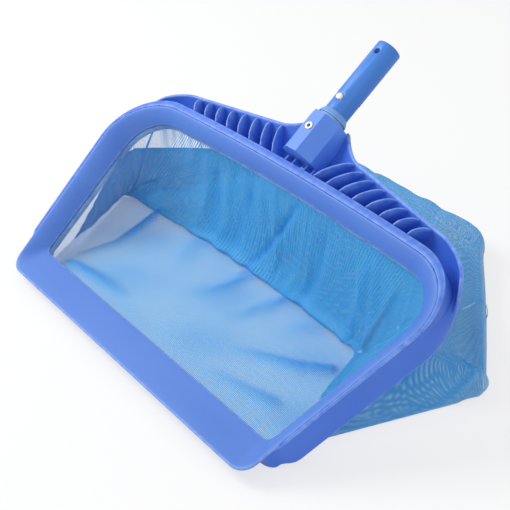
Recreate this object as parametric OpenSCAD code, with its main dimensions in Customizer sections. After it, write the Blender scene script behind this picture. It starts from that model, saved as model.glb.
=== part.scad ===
// Pool leaf rake: a two-part moulded mouth with a lead-in lip, a ribbed brace,
// a pole spigot with a spring clip, and a deep net bag that lies on the ground.
// Millimetres. +X across the mouth, +Y toward the pole, +Z up. The frame stands on
// the foot of its front wall and leans back, with its bag spread under and behind it.

/* [Mouth] */
// Clear width of the mouth along its lip
lip_width = 382.6;  // [340:0.2:420]
// Clear depth of the mouth from the lip to the middle of the back
mouth_depth = 205.9;  // [180:0.1:230]
// How far each side of the mouth splays from straight, in degrees
side_splay = 11.3;  // [6:0.1:15]
// How far each side of the crest splays from straight, in degrees
crest_splay = 12.4;  // [6:0.1:16]
// Radius that the back of the mouth bows to
back_bow = 3200;  // [2000:50:6000]
// Radius of the mouth's corners beside the lip
lip_corner = 9;  // [5:0.5:16]
// Radius of the mouth's corners at the back
back_corner = 42;  // [28:0.5:50]

/* [Resting pose] */
// Lean of the mouth from level as the rake lies on the ground, in degrees
rest_tilt = 30;  // [20:0.5:36]

/* [Bezel] */
// Reach of the lip plate forward of the mouth
lip_reach = 37.3;  // [28:0.1:44]
// Rise of the lip plate at its front edge
lip_rise = 14;  // [10:0.1:18]
// Reach of the funnel slope at the sides
side_reach = 17.8;  // [14:0.1:24]
// Rise of the side crest behind the middle of the mouth
side_rise = 18.4;  // [14:0.1:22]
// Reach of the funnel slope at the back
back_reach = 14;  // [10:0.1:18]
// Rise of the funnel slope at the back
back_rise = 13.4;  // [10:0.1:17]
// Radius of the lip plate's outer corners
lip_outer_corner = 20;  // [12:0.5:28]
// Radius of the crest's corners at the back
crest_corner = 60;  // [48:0.5:70]
// Thickness of the bezel, measured upright
bezel_wall = 3.2;  // [2.4:0.1:4]
// How strongly the funnel's sides and back round over: 0 is straight
funnel_round = 0.7;  // [0:0.05:1]

/* [Frame shell] */
// Depth of the shell's foot below the mouth's inner edge
shell_depth = 15;  // [12:0.1:20]
// Thickness of the shell's walls
shell_wall = 3;  // [2:0.1:4]
// How far the foot of the shell stands outside its crest
shell_draft = 4.2;  // [2:0.1:6]
// Width of the shell's own crest strip along the sides
side_strip = 2.6;  // [1.6:0.1:4]
// Width of the shell's flat strip behind the funnel
back_strip = 8.4;  // [6:0.1:11]
// Share of the lip plate that lies inside the shell's front wall
front_share = 0.405;  // [0.3:0.005:0.55]
// Top of the ledge that carries the net hem, below the mouth's inner edge
ledge_drop = 6.2;  // [5.6:0.1:8]
// Thickness of that ledge
ledge_wall = 2.8;  // [2:0.1:4]
// How far the ledge stops short of the mouth's inner edge
ledge_back = 2.6;  // [2.2:0.1:4]

/* [Brace] */
// Height of the brace rim above the mouth's inner edge
rim_height = 3.84;  // [2:0.1:6]
// Depth of the brace pan where it meets the shell
pan_depth = 12;  // [9:0.1:12.5]
// Thickness of the brace pan
pan_wall = 2.6;  // [2:0.1:4]
// Width of the flat rim along the brace's outer edge
rim_width = 3;  // [2:0.1:5]
// Distance of the rim line from the mouth's back edge, on the centre line
rim_line = 70;  // [64:0.1:76]
// Fall of the rim line toward the corners, per millimetre of width
rim_fall = 0.1667;  // [0.1:0.001:0.2]
// Rise of the rim line where it sweeps up beside the hub
flare_rise = 17.7;  // [10:0.1:22]
// Length along the rim over which it sweeps up beside the hub
flare_run = 36.6;  // [25:0.1:45]
// Number of ribs on each side of the hub
rib_count = 8;  // [5:1:9]
// Offset of the first rib's foot from the centre line
rib_start = 32.1;  // [28:0.1:36]
// Spacing of the ribs' feet
rib_pitch = 18.77;  // [16:0.01:20]
// Outward lean of each rib in plan, in degrees
rib_lean = 33;  // [15:0.5:45]
// Thickness of each rib
rib_wall = 2.4;  // [1.6:0.1:3.2]

/* [Handle hub] */
// Upward tilt of the handle axis, in degrees
handle_tilt = 5.47;  // [2:0.01:9]
// Height of the handle axis above the mouth's inner edge, over the mouth's back edge
axis_height = 5.27;  // [3:0.01:8]
// Distance along the handle axis from the mouth's back edge to the hub's inner end
hub_start = 31.7;  // [29:0.1:36]
// Length of the hub
hub_length = 49.1;  // [42:0.1:56]
// Width of the hub across its flat sides
hub_width = 42.7;  // [38:0.1:48]
// Height of the hub
hub_height = 43;  // [38:0.1:48]
// Width of the hub's top facet
hub_top_facet = 14.2;  // [10:0.1:20]
// Drop of the hub's flat sides below the handle axis
hub_skirt = 16;  // [12:0.1:18]
// Thickness of the web that closes the hub's inner end
hub_end_wall = 4;  // [3:0.1:6]
// Offset of each neck rib from the centre line
neck_rib_offset = 9;  // [6:0.1:12]
// Thickness of the neck ribs and neck walls
neck_wall = 2.2;  // [1.6:0.1:3]

/* [Pole spigot] */
// Diameter of the spigot that takes the pole
spigot_diameter = 28;  // [26:0.1:30]
// Length of the exposed spigot beyond its collar
spigot_length = 89.6;  // [80:0.1:100]
// Length beside the collar where the spigot is relieved around the buttons
relief_length = 22;  // [18:0.1:28]
// Depth of that relief
relief_depth = 0.3;  // [0.2:0.05:0.5]
// Diameter of the spigot's root inside the hub
root_diameter = 26.8;  // [24.6:0.1:27.4]
// Bore of the spigot
spigot_bore = 22;  // [20:0.1:23]
// Rounding of the spigot's free end
spigot_round = 1.4;  // [0.8:0.1:2]
// Length of the collar between hub and spigot
collar_length = 10.8;  // [8:0.1:14]
// Length of the collar's neck, next to the hub
collar_neck = 3.8;  // [2:0.1:5]
// Largest diameter of the flared collar
collar_diameter = 34;  // [31:0.1:38]
// Distance of the cross hole from the spigot's free end
cross_hole_inset = 13.3;  // [10:0.1:18]
// Diameter of the cross hole near the spigot's free end
cross_hole_diameter = 7;  // [5:0.1:9]
// Distance of the rivet from the hub's outer end
rivet_inset = 19.2;  // [14:0.1:25]
// Shank diameter of the tubular rivet
rivet_diameter = 6;  // [4:0.1:7]
// Wall of the tubular rivet
rivet_wall = 0.9;  // [0.6:0.1:1.4]
// Diameter of the rivet's rolled ends
rivet_head = 9;  // [8:0.1:11]

/* [Spring clip] */
// Distance from the collar to the middle of the button hole
button_inset = 14.8;  // [12:0.1:20]
// Diameter of each snap button
button_diameter = 7.6;  // [6.8:0.1:8.4]
// How far each button stands out of the spigot
button_proud = 1.8;  // [1.2:0.1:2.6]
// Gap around each button in its hole
button_gap = 0.7;  // [0.6:0.05:1]
// Thickness of the clip's strip
clip_wall = 1.2;  // [0.8:0.1:1.6]
// Width of the clip's strip
clip_width = 7;  // [5:0.1:7.6]
// Length of each arm from its bend to the button
arm_length = 44.7;  // [38:0.1:46]
// Height of each arm's bend off the handle axis
bend_height = 6.2;  // [4:0.1:7]
// Length of each arm's flat end
arm_flat = 14;  // [10:0.1:18]
// Gap between the arms' upper face and the spigot's bore
arm_gap = 0.4;  // [0.3:0.05:0.8]

/* [Net bag] */
// Thickness of the net panels
net_wall = 1.2;  // [0.8:0.1:2]
// Width of the bag's floor at its front edge
floor_width = 376;  // [300:1:390]
// Distance of the bag floor's front edge behind the foot of the front wall
floor_inset = 12;  // [8:0.5:30]
// Radius of the bag floor's front corners
floor_front_corner = 24;  // [14:1:40]
// Width across the bag's two puffed corners, its widest place on the ground
bag_width = 520;  // [460:1:530]
// Distance of the puffed corners behind the mouth's back edge
bag_wide_at = 30;  // [10:1:60]
// Distance of the bag's closed end behind the mouth's back edge
bag_reach = 218;  // [180:1:250]
// Width of the bag's closed end
bag_end_width = 206;  // [120:1:280]
// Radius of the bag's puffed corners
bag_corner = 16;  // [10:1:40]
// Height of the bag's puffed rim
bag_puff = 33;  // [20:1:44]
// Width between the side panels where they reach the ground
waist_width = 352;  // [320:1:380]
// Distance of the back panel's foot in front of the mouth's back edge
waist_inset = 18;  // [8:1:40]
// Radius of the waist's back corners
waist_corner = 40;  // [20:1:60]
// Height of the hem band
hem_height = 2.5;  // [1.8:0.1:2.6]
// Width of the hem band
hem_width = 8;  // [6:0.1:9]
// Width of the tape on each corner seam
tape_width = 9;  // [6:0.5:14]
// Play between a seam tape and the cloth it is sewn over
tape_seat = 0.4;  // [0.1:0.05:0.8]
// Thickness of the seam tape
tape_wall = 0.9;  // [0.6:0.1:1.4]

/* [Hidden] */
$fn = 72;
seat_gap = 0.1;
under_lip = 0.8;
least_draft = 0.6;
edge_drop = 1.3;

// Mirror-symmetric outline counts: front run, front corner, side, back corner, back run.
n_front = 4;
n_lipc = 6;
n_side = 6;
n_backc = 10;
n_back = 14;
n_half = n_front + n_lipc + n_side + n_backc + n_back + 1;
n_loop = 2 * n_half - 2;
i_side = n_front + n_lipc;
i_corner = i_side + n_side;
i_back = i_corner + n_backc;
i_hub = n_half - 2;

hub_half = hub_width / 2;
skirt_x = hub_half + seat_gap;

function mix(a, b, t) = a + (b - a) * t;
function ease(t) = t <= 0 ? 0 : t >= 1 ? 1 : t * t * (3 - 2 * t);
function unit(v) = v / norm(v);
function flat(p) = [p[0], p[1]];

// Points of a round of radius r at corner p, from the run toward a to the run toward b.
function round_corner(p, a, b, r, n) =
    let(u = unit(a - p), v = unit(b - p), h = acos(u * v) / 2)
    let(c = p + unit(u + v) * r / sin(h), q = p + u * r / tan(h) - c)
    let(start = atan2(q[1], q[0]), turn = 180 - 2 * h)
    [for (i = [0:n]) c + r * [cos(start + turn * i / n), sin(start + turn * i / n)]];

// Right half of an outline, from the middle of its front to the middle of its back.
// Front line, back line, half width at the front line, splay and the two corner radii.
function half_outline(yf, yb, xf, splay, rf, rb) =
    let(xc = xf + tan(splay) * (yb - yf), drop = xc * xc / (2 * back_bow))
    let(front = [xf, yf], back = [xf + tan(splay) * (yb - drop - yf), yb - drop])
    let(inward = back + [-1, 2 * drop / xc])
    let(arc_f = round_corner(front, [0, yf], back, rf, n_lipc))
    let(arc_b = round_corner(back, front, inward, rb, n_backc))
    let(s0 = arc_f[n_lipc], s1 = arc_b[0], e = arc_b[n_backc])
    concat(
        [for (i = [0:n_front - 1]) [arc_f[0][0] * i / n_front, yf]],
        arc_f,
        [for (i = [1:n_side - 1]) mix(s0, s1, i / n_side)],
        arc_b,
        [for (i = [1:n_back - 1]) let(x = mix(e[0], skirt_x, i / (n_back - 1)))
            [x, yb - (yb - e[1]) * pow(x / e[0], 2)]],
        [[0, yb]]
    );

// Whole outline, counter-clockwise seen from above.
function whole(half) = concat(half, [for (i = [1:n_half - 2]) let(p = half[n_half - 1 - i]) [-p[0], p[1]]]);

// Index of an outline point counted inside its right half.
function half_of(i) = i < n_half ? i : n_loop - i;

inner_loop = whole(half_outline(-mouth_depth, 0, lip_width / 2, side_splay, lip_corner, back_corner));
crest_front = mouth_depth + lip_reach;
crest_loop = whole(half_outline(-crest_front, back_reach, lip_width / 2 + side_reach
    - tan(side_splay) * lip_reach, crest_splay, lip_outer_corner, crest_corner));

// Outward normal of the crest at each outline point.
function normal_at(loop, i) =
    let(d = unit(loop[(i + 1) % n_loop] - loop[(i + n_loop - 1) % n_loop]))
    [d[1], -d[0]];
out = [for (i = [0:n_loop - 1]) normal_at(crest_loop, i)];

// Crest height, shell share and strip width round the mouth, by half index.
function crest_z(h) = h <= i_side ? lip_rise
    : h <= i_corner ? mix(lip_rise, side_rise, (h - i_side) / n_side)
    : h <= i_back ? mix(side_rise, back_rise, ease((h - i_corner) / n_backc))
    : back_rise;
function shell_share(h) = h <= n_front ? front_share
    : h <= i_side ? front_share + 0.2 * pow((h - n_front) / n_lipc, 2)
    : 1;
function strip(h) = h <= i_side ? under_lip
    : h <= i_corner ? side_strip
    : mix(side_strip, back_strip, ease((h - i_corner) / n_backc));
function rim_up(h) = h <= i_side ? under_lip / 2 : bezel_wall;
function draft(h) = h <= n_front ? least_draft
    : h <= i_side ? mix(least_draft, shell_draft, (h - n_front) / n_lipc)
    : h <= i_corner ? shell_draft
    : mix(shell_draft, least_draft, ease((h - i_corner) / n_backc));

// A point of the funnel: share t of the way from the mouth's edge to the crest.
function funnel(i, t, dz) =
    let(p = mix(inner_loop[i], crest_loop[i], t))
    [p[0], p[1], t * crest_z(half_of(i)) + dz];

// A point of the funnel's upper face: straight on the lip, rounded over on the sides and back.
function dome(i, t, dz) =
    let(h = half_of(i), power = 1 + funnel_round * ease(min(1, max(0, (h - n_front) / (n_lipc + 2)))))
    let(p = mix(inner_loop[i], crest_loop[i], t))
    [p[0], p[1], (1 - pow(1 - t, power)) * crest_z(h) + dz];

// A point of the shell: offset o outside the crest line where the bezel seats.
function shell_base(i) = mix(inner_loop[i], crest_loop[i], shell_share(half_of(i)));
function lap_gap(h) = h <= n_front || h > i_corner + 1 ? seat_gap
    : h <= i_side + 1 ? under_lip + 8 * seat_gap
    : under_lip / 2 + seat_gap;
function shell_top(i) =
    let(h = half_of(i))
    shell_share(h) * crest_z(h) - bezel_wall - lap_gap(h) - (h <= i_side ? under_lip : 0);
function shell_at(i, o, z) = let(p = shell_base(i) + out[i] * o) [p[0], p[1], z];
function wall_out(i, z) =
    let(h = half_of(i), top = shell_top(i) + rim_up(h))
    strip(h) + draft(h) * (top - z) / (top + shell_depth);
// Height under the bezel at offset o inside the shell's seat.
function under(i, o) =
    let(h = half_of(i), run = norm(crest_loop[i] - inner_loop[i]))
    max(0.08, shell_share(h) - o / run) * crest_z(h) - bezel_wall - lap_gap(h);
function ledge_end(i) = inner_loop[i] + normal_at(inner_loop, i) * ledge_back;

// Closed tube of rings: each ring is a list of as many points.
module ring_loft(rings) {
    m = len(rings);
    n = len(rings[0]);
    points = [for (r = rings) each r];
    faces = [for (j = [0:m - 1]) for (i = [0:n - 1])
        let(a = j * n + i, b = j * n + (i + 1) % n)
        let(c = ((j + 1) % m) * n + i, d = ((j + 1) % m) * n + (i + 1) % n)
        each [[a, c, b], [b, c, d]]];
    polyhedron(points = points, faces = faces, convexity = 8);
}

// Closed bar: a row of like sections, capped at both ends by fans about their middle.
module bar_loft(sections) {
    m = len(sections);
    n = len(sections[0]);
    middle = function(s) [for (k = [0:2]) let(v = [for (p = s) p[k]]) (max(v) + min(v)) / 2];
    points = concat([for (s = sections) each s], [middle(sections[0])], [middle(sections[m - 1])]);
    sides = [for (j = [0:m - 2]) for (i = [0:n - 1])
        let(a = j * n + i, b = j * n + (i + 1) % n)
        let(c = (j + 1) * n + i, d = (j + 1) * n + (i + 1) % n)
        each [[a, c, b], [b, c, d]]];
    caps = [for (i = [0:n - 1]) each [
        [m * n, i, (i + 1) % n],
        [m * n + 1, (m - 1) * n + (i + 1) % n, (m - 1) * n + i]]];
    polyhedron(points = points, faces = concat(sides, caps), convexity = 8);
}

// Closed sheet between two like grids of points, outer and inner, split along the same diagonals.
module sheet_loft(outer, inner) {
    m = len(outer);
    n = len(outer[0]);
    s = m * n;
    skins = [for (i = [0:m - 2]) for (j = [0:n - 2])
        let(a = i * n + j, b = a + 1, c = a + n, d = c + 1)
        each [[a, c, b], [b, c, d], [a + s, b + s, c + s], [b + s, d + s, c + s]]];
    top = [for (i = [0:m - 2]) let(a = i * n, c = a + n) each [[a, a + s, c], [c, a + s, c + s]]];
    foot = [for (i = [0:m - 2])
        let(a = i * n + n - 1, c = a + n)
        each [[a, c, a + s], [c, c + s, a + s]]];
    first = [for (a = [0:n - 2]) each [[a, a + 1, a + s], [a + 1, a + 1 + s, a + s]]];
    last = [for (a = [s - n:s - 2]) each [[a, a + s, a + 1], [a + 1, a + s, a + 1 + s]]];
    polyhedron(points = concat([for (r = outer) each r], [for (r = inner) each r]),
        faces = concat(skins, top, foot, first, last), convexity = 8);
}

// Overall placing: shell foot and bag on z = 0, the part centred front to back.
handle_cos = cos(handle_tilt);
handle_sin = sin(handle_tilt);
hub_end = hub_start + hub_length;
collar_end = hub_end + collar_length;
spigot_end = collar_end + spigot_length;
rest_cos = cos(rest_tilt);
rest_sin = sin(rest_tilt);
foot_y = mix(mouth_depth, crest_front, front_share) + under_lip;
lift = foot_y * rest_sin + shell_depth * rest_cos;
reach_front = crest_front * rest_cos + (lip_rise - edge_drop) * rest_sin;
reach_back = (spigot_end - spigot_round) * cos(rest_tilt + handle_tilt) + spigot_round
    + (spigot_diameter / 2 - spigot_round) * sin(rest_tilt + handle_tilt) - axis_height * rest_sin;
shift_y = (reach_front - max(reach_back, bag_reach)) / 2;

// A point of the mouth's own frame, laid down as the rake rests.
function laid(p) = [p[0], p[1] * rest_cos - p[2] * rest_sin + shift_y, p[1] * rest_sin + p[2] * rest_cos + lift];

module place() {
    translate([0, shift_y, lift]) rotate([rest_tilt, 0, 0]) children();
}

// Children lie along +Y from the mouth's back edge, on the tilted handle axis.
module on_handle() {
    place() translate([0, 0, axis_height]) rotate([handle_tilt, 0, 0]) children();
}

// A round bar along the handle, from a outward.
module along(a) {
    translate([0, a, 0]) rotate([-90, 0, 0]) children();
}

module mouth_bezel() {
    color([0.43, 0.57, 0.87]) place() ring_loft([
        [for (i = [0:n_loop - 1]) funnel(i, 0, -bezel_wall + 0.8)],
        [for (i = [0:n_loop - 1]) funnel(i, 0, -0.7)],
        [for (i = [0:n_loop - 1]) dome(i, 0.03, 0)],
        [for (i = [0:n_loop - 1]) dome(i, 0.2, 0)],
        [for (i = [0:n_loop - 1]) dome(i, 0.4, 0)],
        [for (i = [0:n_loop - 1]) dome(i, 0.65, 0)],
        [for (i = [0:n_loop - 1]) dome(i, 0.9, 0)],
        [for (i = [0:n_loop - 1]) dome(i, 0.97, -0.35)],
        [for (i = [0:n_loop - 1]) funnel(i, 1, -edge_drop)],
        [for (i = [0:n_loop - 1]) funnel(i, 1, -bezel_wall + 0.5)],
        [for (i = [0:n_loop - 1]) funnel(i, 0.98, -bezel_wall)],
        [for (i = [0:n_loop - 1]) funnel(i, 0.5, -bezel_wall)],
        [for (i = [0:n_loop - 1]) funnel(i, 0.04, -bezel_wall)]
    ]);
}

// Offset of the shell's inner wall face at height z.
function wall_in(i, z) = wall_out(i, z) - shell_wall;

module frame_shell() {
    lap = 3;
    foot = -shell_depth;
    low = -ledge_drop - ledge_wall;
    color([0.30, 0.46, 0.83]) place() ring_loft([
        [for (i = [0:n_loop - 1]) shell_at(i, -lap, under(i, lap) - 2.2)],
        [for (i = [0:n_loop - 1]) shell_at(i, -lap, under(i, lap))],
        [for (i = [0:n_loop - 1]) shell_at(i, seat_gap, shell_top(i))],
        [for (i = [0:n_loop - 1]) let(h = half_of(i)) shell_at(i, seat_gap, shell_top(i) + rim_up(h))],
        [for (i = [0:n_loop - 1]) let(h = half_of(i))
            shell_at(i, seat_gap + 0.6 * strip(h), shell_top(i) + rim_up(h) + 0.1)],
        [for (i = [0:n_loop - 1]) let(h = half_of(i))
            shell_at(i, seat_gap + strip(h), shell_top(i) + rim_up(h) - 1)],
        [for (i = [0:n_loop - 1]) shell_at(i, wall_out(i, foot) + seat_gap, foot + 0.8)],
        [for (i = [0:n_loop - 1]) shell_at(i, wall_out(i, foot) - 0.6, foot)],
        [for (i = [0:n_loop - 1]) shell_at(i, wall_in(i, foot), foot)],
        [for (i = [0:n_loop - 1]) shell_at(i, wall_in(i, low), low)],
        [for (i = [0:n_loop - 1]) let(p = ledge_end(i)) [p[0], p[1], low]],
        [for (i = [0:n_loop - 1]) let(p = ledge_end(i)) [p[0], p[1], -ledge_drop]],
        [for (i = [0:n_loop - 1]) shell_at(i, wall_in(i, -ledge_drop), -ledge_drop)],
        [for (i = [0:n_loop - 1]) shell_at(i, min(wall_in(i, 0), wall_in(i, shell_top(i))),
            max(-ledge_drop + 0.6, min(shell_top(i), under(i, lap)) - 2.2))]
    ]);
}

// Distance of the brace rim from the mouth's back edge at width x.
function rim_y(x) =
    rim_line - rim_fall * x
    + (x < skirt_x + flare_run ? flare_rise * pow((skirt_x + flare_run - x) / flare_run, 1.8) : 0);

// Brace rim width outside the shell's foot, by half index.
function rim_reach(i) =
    let(h = half_of(i), p = shell_base(i_back) + out[i_back] * wall_out(i_back, -pan_depth))
    let(q = shell_base(i) + out[i] * wall_out(i, -pan_depth))
    h >= i_back ? (rim_y(abs(q[0])) - q[1]) / out[i][1]
    : (rim_y(abs(p[0])) - p[1]) * pow((h - i_corner) / n_backc, 1.2);

// Height of the pan's upper face at share q from the shell to the rim.
function pan_z(q) = mix(-pan_depth, rim_height, pow(q, 1.5));

// Section of the brace pan at outline index i: upper face outward, lower face back.
function pan_section(i) =
    let(w = rim_reach(i) - seat_gap, root = wall_out(i, -shell_depth) + 2 * seat_gap)
    let(shares = [0, 0.18, 0.36, 0.54, 0.7, 0.84, 1], flat_w = min(rim_width, w * 0.3))
    let(span = w - flat_w)
    concat(
        [for (q = shares) shell_at(i, root + 0.15 + span * q, pan_z(q))],
        [shell_at(i, root + w, rim_height - 0.3), shell_at(i, root + w, rim_height - pan_wall - 2)],
        [shell_at(i, root + w - 1.6, rim_height - pan_wall - 2)],
        [for (k = [0:6]) let(q = shares[6 - k])
            shell_at(i, root + 0.15 + span * q * 0.98, pan_z(q) - pan_wall)]
    );

// One upright rib of the brace: foot on the shell, end on the rim.
function rib_top(s) = s < 0.25 ? mix(back_rise + 0.1, back_rise + 1.3, ease(s / 0.25))
    : mix(rim_height + 0.4, back_rise + 1.3, pow(1 - pow((s - 0.25) / 0.75, 2.1), 0.62));

function shell_y(x) =
    let(near = [for (i = [i_corner:i_hub]) let(p = shell_at(i, wall_out(i, -shell_depth), 0)) if (p[0] >= x) p])
    let(p = near[len(near) - 1], far = [for (i = [i_corner:i_hub + 1])
        let(q = shell_at(i, wall_out(i, -shell_depth), 0)) if (q[0] < x) q][0])
    mix(far[1], p[1], (x - far[0]) / (p[0] - far[0]));

module rib(k) {
    xf = rib_start + rib_pitch * k;
    yf = shell_y(xf) + 2 * seat_gap + rib_wall / 2 * sin(rib_lean);
    steps = 10;
    lean = [sin(rib_lean), cos(rib_lean)];
    reach = (rim_y(xf + 20) - 1.5 - yf) / (lean[1] + rim_fall * lean[0]);
    side = [lean[1], -lean[0]] * rib_wall / 2;
    bar_loft([for (j = [0:steps])
        let(s = j / steps, c = [xf, yf] + lean * reach * s)
        let(low = pan_z(min(1, s * 0.93)) - 1.2)
        let(a = c - side, b = c + side)
        [[a[0], a[1], low], [a[0], a[1], rib_top(s)], [b[0], b[1], rib_top(s)], [b[0], b[1], low]]]);
}

module brace_half() {
    bar_loft([for (i = [i_corner + 1:i_hub]) pan_section(i)]);
    for (k = [0:rib_count - 1]) {
        rib(k);
    }
}

module brace_right() {
    color([0.36, 0.50, 0.86]) place() brace_half();
}

module brace_left() {
    color([0.36, 0.50, 0.86]) place() mirror([1, 0, 0]) brace_half();
}

// Eight-sided hub section, its flat sides carried down as a skirt for the brace.
module hub_section() {
    cut = hub_half - hub_top_facet / 2;
    polygon([
        [-hub_top_facet / 2, hub_height / 2], [-hub_half, hub_height / 2 - cut],
        [-hub_half, -hub_skirt], [-hub_half + hub_height / 2 - hub_skirt, -hub_height / 2],
        [hub_half - hub_height / 2 + hub_skirt, -hub_height / 2], [hub_half, -hub_skirt],
        [hub_half, hub_height / 2 - cut], [hub_top_facet / 2, hub_height / 2]
    ]);
}

rivet_at = hub_end - rivet_inset;
bore_floor = hub_start + hub_end_wall;

module cross_bore(a, d, h) {
    translate([0, a, 0]) cylinder(d = d, h = h, center = true);
}

// Neck ribs and side walls run from the hub's inner end to the shell's back wall.
module neck_web(x) {
    wall_y = back_reach + back_strip + 1.1;
    translate([x - neck_wall / 2, wall_y, -10])
        cube([neck_wall, hub_start * handle_cos + 2 - wall_y, 9 + rim_height]);
}

module hub_housing() {
    color([0.42, 0.57, 0.87]) {
        difference() {
            on_handle() translate([0, hub_end, 0]) rotate([90, 0, 0]) linear_extrude(hub_length)
                hub_section();
            on_handle() along(bore_floor) cylinder(d = root_diameter + seat_gap, h = hub_length);
            on_handle() cross_bore(rivet_at, rivet_diameter + seat_gap, hub_height + 4);
        }
        place() for (s = [-1, 1]) {
            neck_web(s * neck_rib_offset);
            neck_web(s * (hub_half - neck_wall / 2));
        }
    }
}

module handle_tube() {
    root = bore_floor + seat_gap;
    button_at = collar_end + button_inset;
    color([0.31, 0.51, 0.80]) on_handle() difference() {
        along(root) rotate_extrude() polygon(concat(
            [[spigot_bore / 2, 0], [root_diameter / 2, 0], [root_diameter / 2, collar_end - root],
            [spigot_diameter / 2 - relief_depth, collar_end - root],
            [spigot_diameter / 2 - relief_depth, collar_end - root + relief_length],
            [spigot_diameter / 2, collar_end - root + relief_length]],
            [for (t = [0:15:90]) [spigot_diameter / 2 - spigot_round + spigot_round * cos(t),
                spigot_end - root - spigot_round + spigot_round * sin(t)]],
            [[spigot_bore / 2, spigot_end - root]]
        ));
        cross_bore(rivet_at, rivet_diameter + seat_gap, root_diameter + 4);
        cross_bore(button_at, button_diameter + 2 * button_gap, spigot_diameter + 4);
        cross_bore(spigot_end - cross_hole_inset, cross_hole_diameter, spigot_diameter + 4);
    }
}

module spigot_collar() {
    inner = root_diameter / 2 + seat_gap / 2;
    flare = collar_diameter / 2;
    color([0.55, 0.70, 0.86]) on_handle() along(hub_end + seat_gap) rotate_extrude() polygon([
        [inner, 0], [flare - 2, 0], [flare - 2, collar_neck], [flare - 0.4, collar_neck],
        [flare, collar_neck + 0.5], [flare - 0.5, collar_neck + 2.2],
        [spigot_diameter / 2 + 0.6, collar_length - 1], [spigot_diameter / 2, collar_length - 2 * seat_gap],
        [inner, collar_length - 2 * seat_gap]
    ]);
}

module hub_rivet() {
    shank = rivet_diameter / 2;
    half = hub_height / 2 + seat_gap;
    lip = 0.9;
    color([0.86, 0.84, 0.80]) on_handle() translate([0, rivet_at, 0]) rotate_extrude() polygon([
        [shank - rivet_wall, -half - lip], [rivet_head / 2 - 0.4, -half - lip], [rivet_head / 2, -half - lip / 2],
        [rivet_head / 2, -half], [shank, -half], [shank, half], [rivet_head / 2, half],
        [rivet_head / 2, half + lip / 2], [rivet_head / 2 - 0.4, half + lip], [shank - rivet_wall, half + lip]
    ]);
}

// Spring clip: a bow with an arm and a button to each side of the handle axis.
button_y = collar_end + button_inset;
bend_y = button_y + arm_length;
arm_top = sqrt(pow(spigot_bore / 2, 2) - pow(clip_width / 2, 2)) - arm_gap;
arm_mid = arm_top - clip_wall / 2;

module clip_bow() {
    start = bend_y + clip_wall / 2 + 0.3;
    color([0.90, 0.91, 0.92]) on_handle() translate([-clip_width / 2, 0, 0]) rotate([90, 0, 90])
        linear_extrude(clip_width) difference() {
            union() {
                translate([start, 0]) circle(r = bend_height + clip_wall / 2);
            }
            translate([start, 0]) circle(r = bend_height - clip_wall / 2);
            translate([start - 2 * bend_height, -2 * bend_height]) square([2 * bend_height, 4 * bend_height]);
        }
}

module arm_profile() {
    flat_start = button_y + arm_flat / 2;
    t = clip_wall / 2;
    translate([bend_y, bend_height]) circle(r = t);
    polygon([
        [bend_y, bend_height - t], [bend_y, bend_height + t], [flat_start, arm_mid + t],
        [flat_start - arm_flat, arm_mid + t], [flat_start - arm_flat, arm_mid - t], [flat_start, arm_mid - t]
    ]);
}

module arm() {
    translate([-clip_width / 2, 0, 0]) rotate([90, 0, 90]) linear_extrude(clip_width) arm_profile();
}

module button() {
    r = button_diameter / 2;
    top = spigot_diameter / 2 + button_proud;
    translate([0, button_y, 0]) rotate_extrude() polygon([
        [0, arm_top], [r, arm_top], [r, top - 1.2], [r - 0.35, top - 0.5], [r - 1.2, top - 0.1], [0, top]
    ]);
}

module clip_arm_upper() {
    color([0.90, 0.91, 0.92]) on_handle() arm();
}

module clip_arm_lower() {
    color([0.90, 0.91, 0.92]) on_handle() mirror([0, 0, 1]) arm();
}

module button_upper() {
    color([0.94, 0.94, 0.94]) on_handle() button();
}

module button_lower() {
    color([0.94, 0.94, 0.94]) on_handle() mirror([0, 0, 1]) button();
}

// Net bag: panels between the mouth and a floor on the ground, split at the corner seams.
floor_front = -foot_y * rest_cos + shell_depth * rest_sin + floor_inset;

// Right half of the bag on the ground: front edge, front corner, side out to the puffed corner,
// slant to the closed end, and the end, with as many points as the mouth's outline.
function bag_half() =
    let(front = [floor_width / 2, floor_front], wide = [bag_width / 2, bag_wide_at])
    let(end = [bag_end_width / 2, bag_reach], half_turn = (n_backc - 2) / 2)
    let(arc_f = round_corner(front, [0, floor_front], wide, floor_front_corner, n_lipc))
    let(arc_w = round_corner(wide, front, end, bag_corner, half_turn))
    let(arc_e = round_corner(end, wide, [0, bag_reach], bag_corner, half_turn))
    concat(
        [for (i = [0:n_front - 1]) [arc_f[0][0] * i / n_front, floor_front]],
        arc_f,
        [for (i = [1:n_side - 1]) mix(arc_f[n_lipc], arc_w[0], i / n_side)],
        arc_w,
        [mix(arc_w[half_turn], arc_e[0], 0.5)],
        arc_e,
        [for (i = [1:n_back - 1]) [arc_e[half_turn][0] * (1 - i / n_back), bag_reach]],
        [[0, bag_reach]]
    );
floor_loop = whole([for (p = bag_half()) [p[0], p[1] + shift_y]]);
waist_loop = whole(half_outline(floor_front + shift_y, shift_y - waist_inset, waist_width / 2, 0,
    floor_front_corner, waist_corner));
n_level = 6;
net_top = -ledge_drop - seat_gap;
net_turn = -ledge_drop - ledge_wall - 0.5;
net_out = ledge_back - 0.4;

// How far the bag flares out on the ground, from none at the front corner to all at the back.
function flare(h) = h <= i_side ? 0 : ease(min(1, (h - i_side) / n_side));

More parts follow.
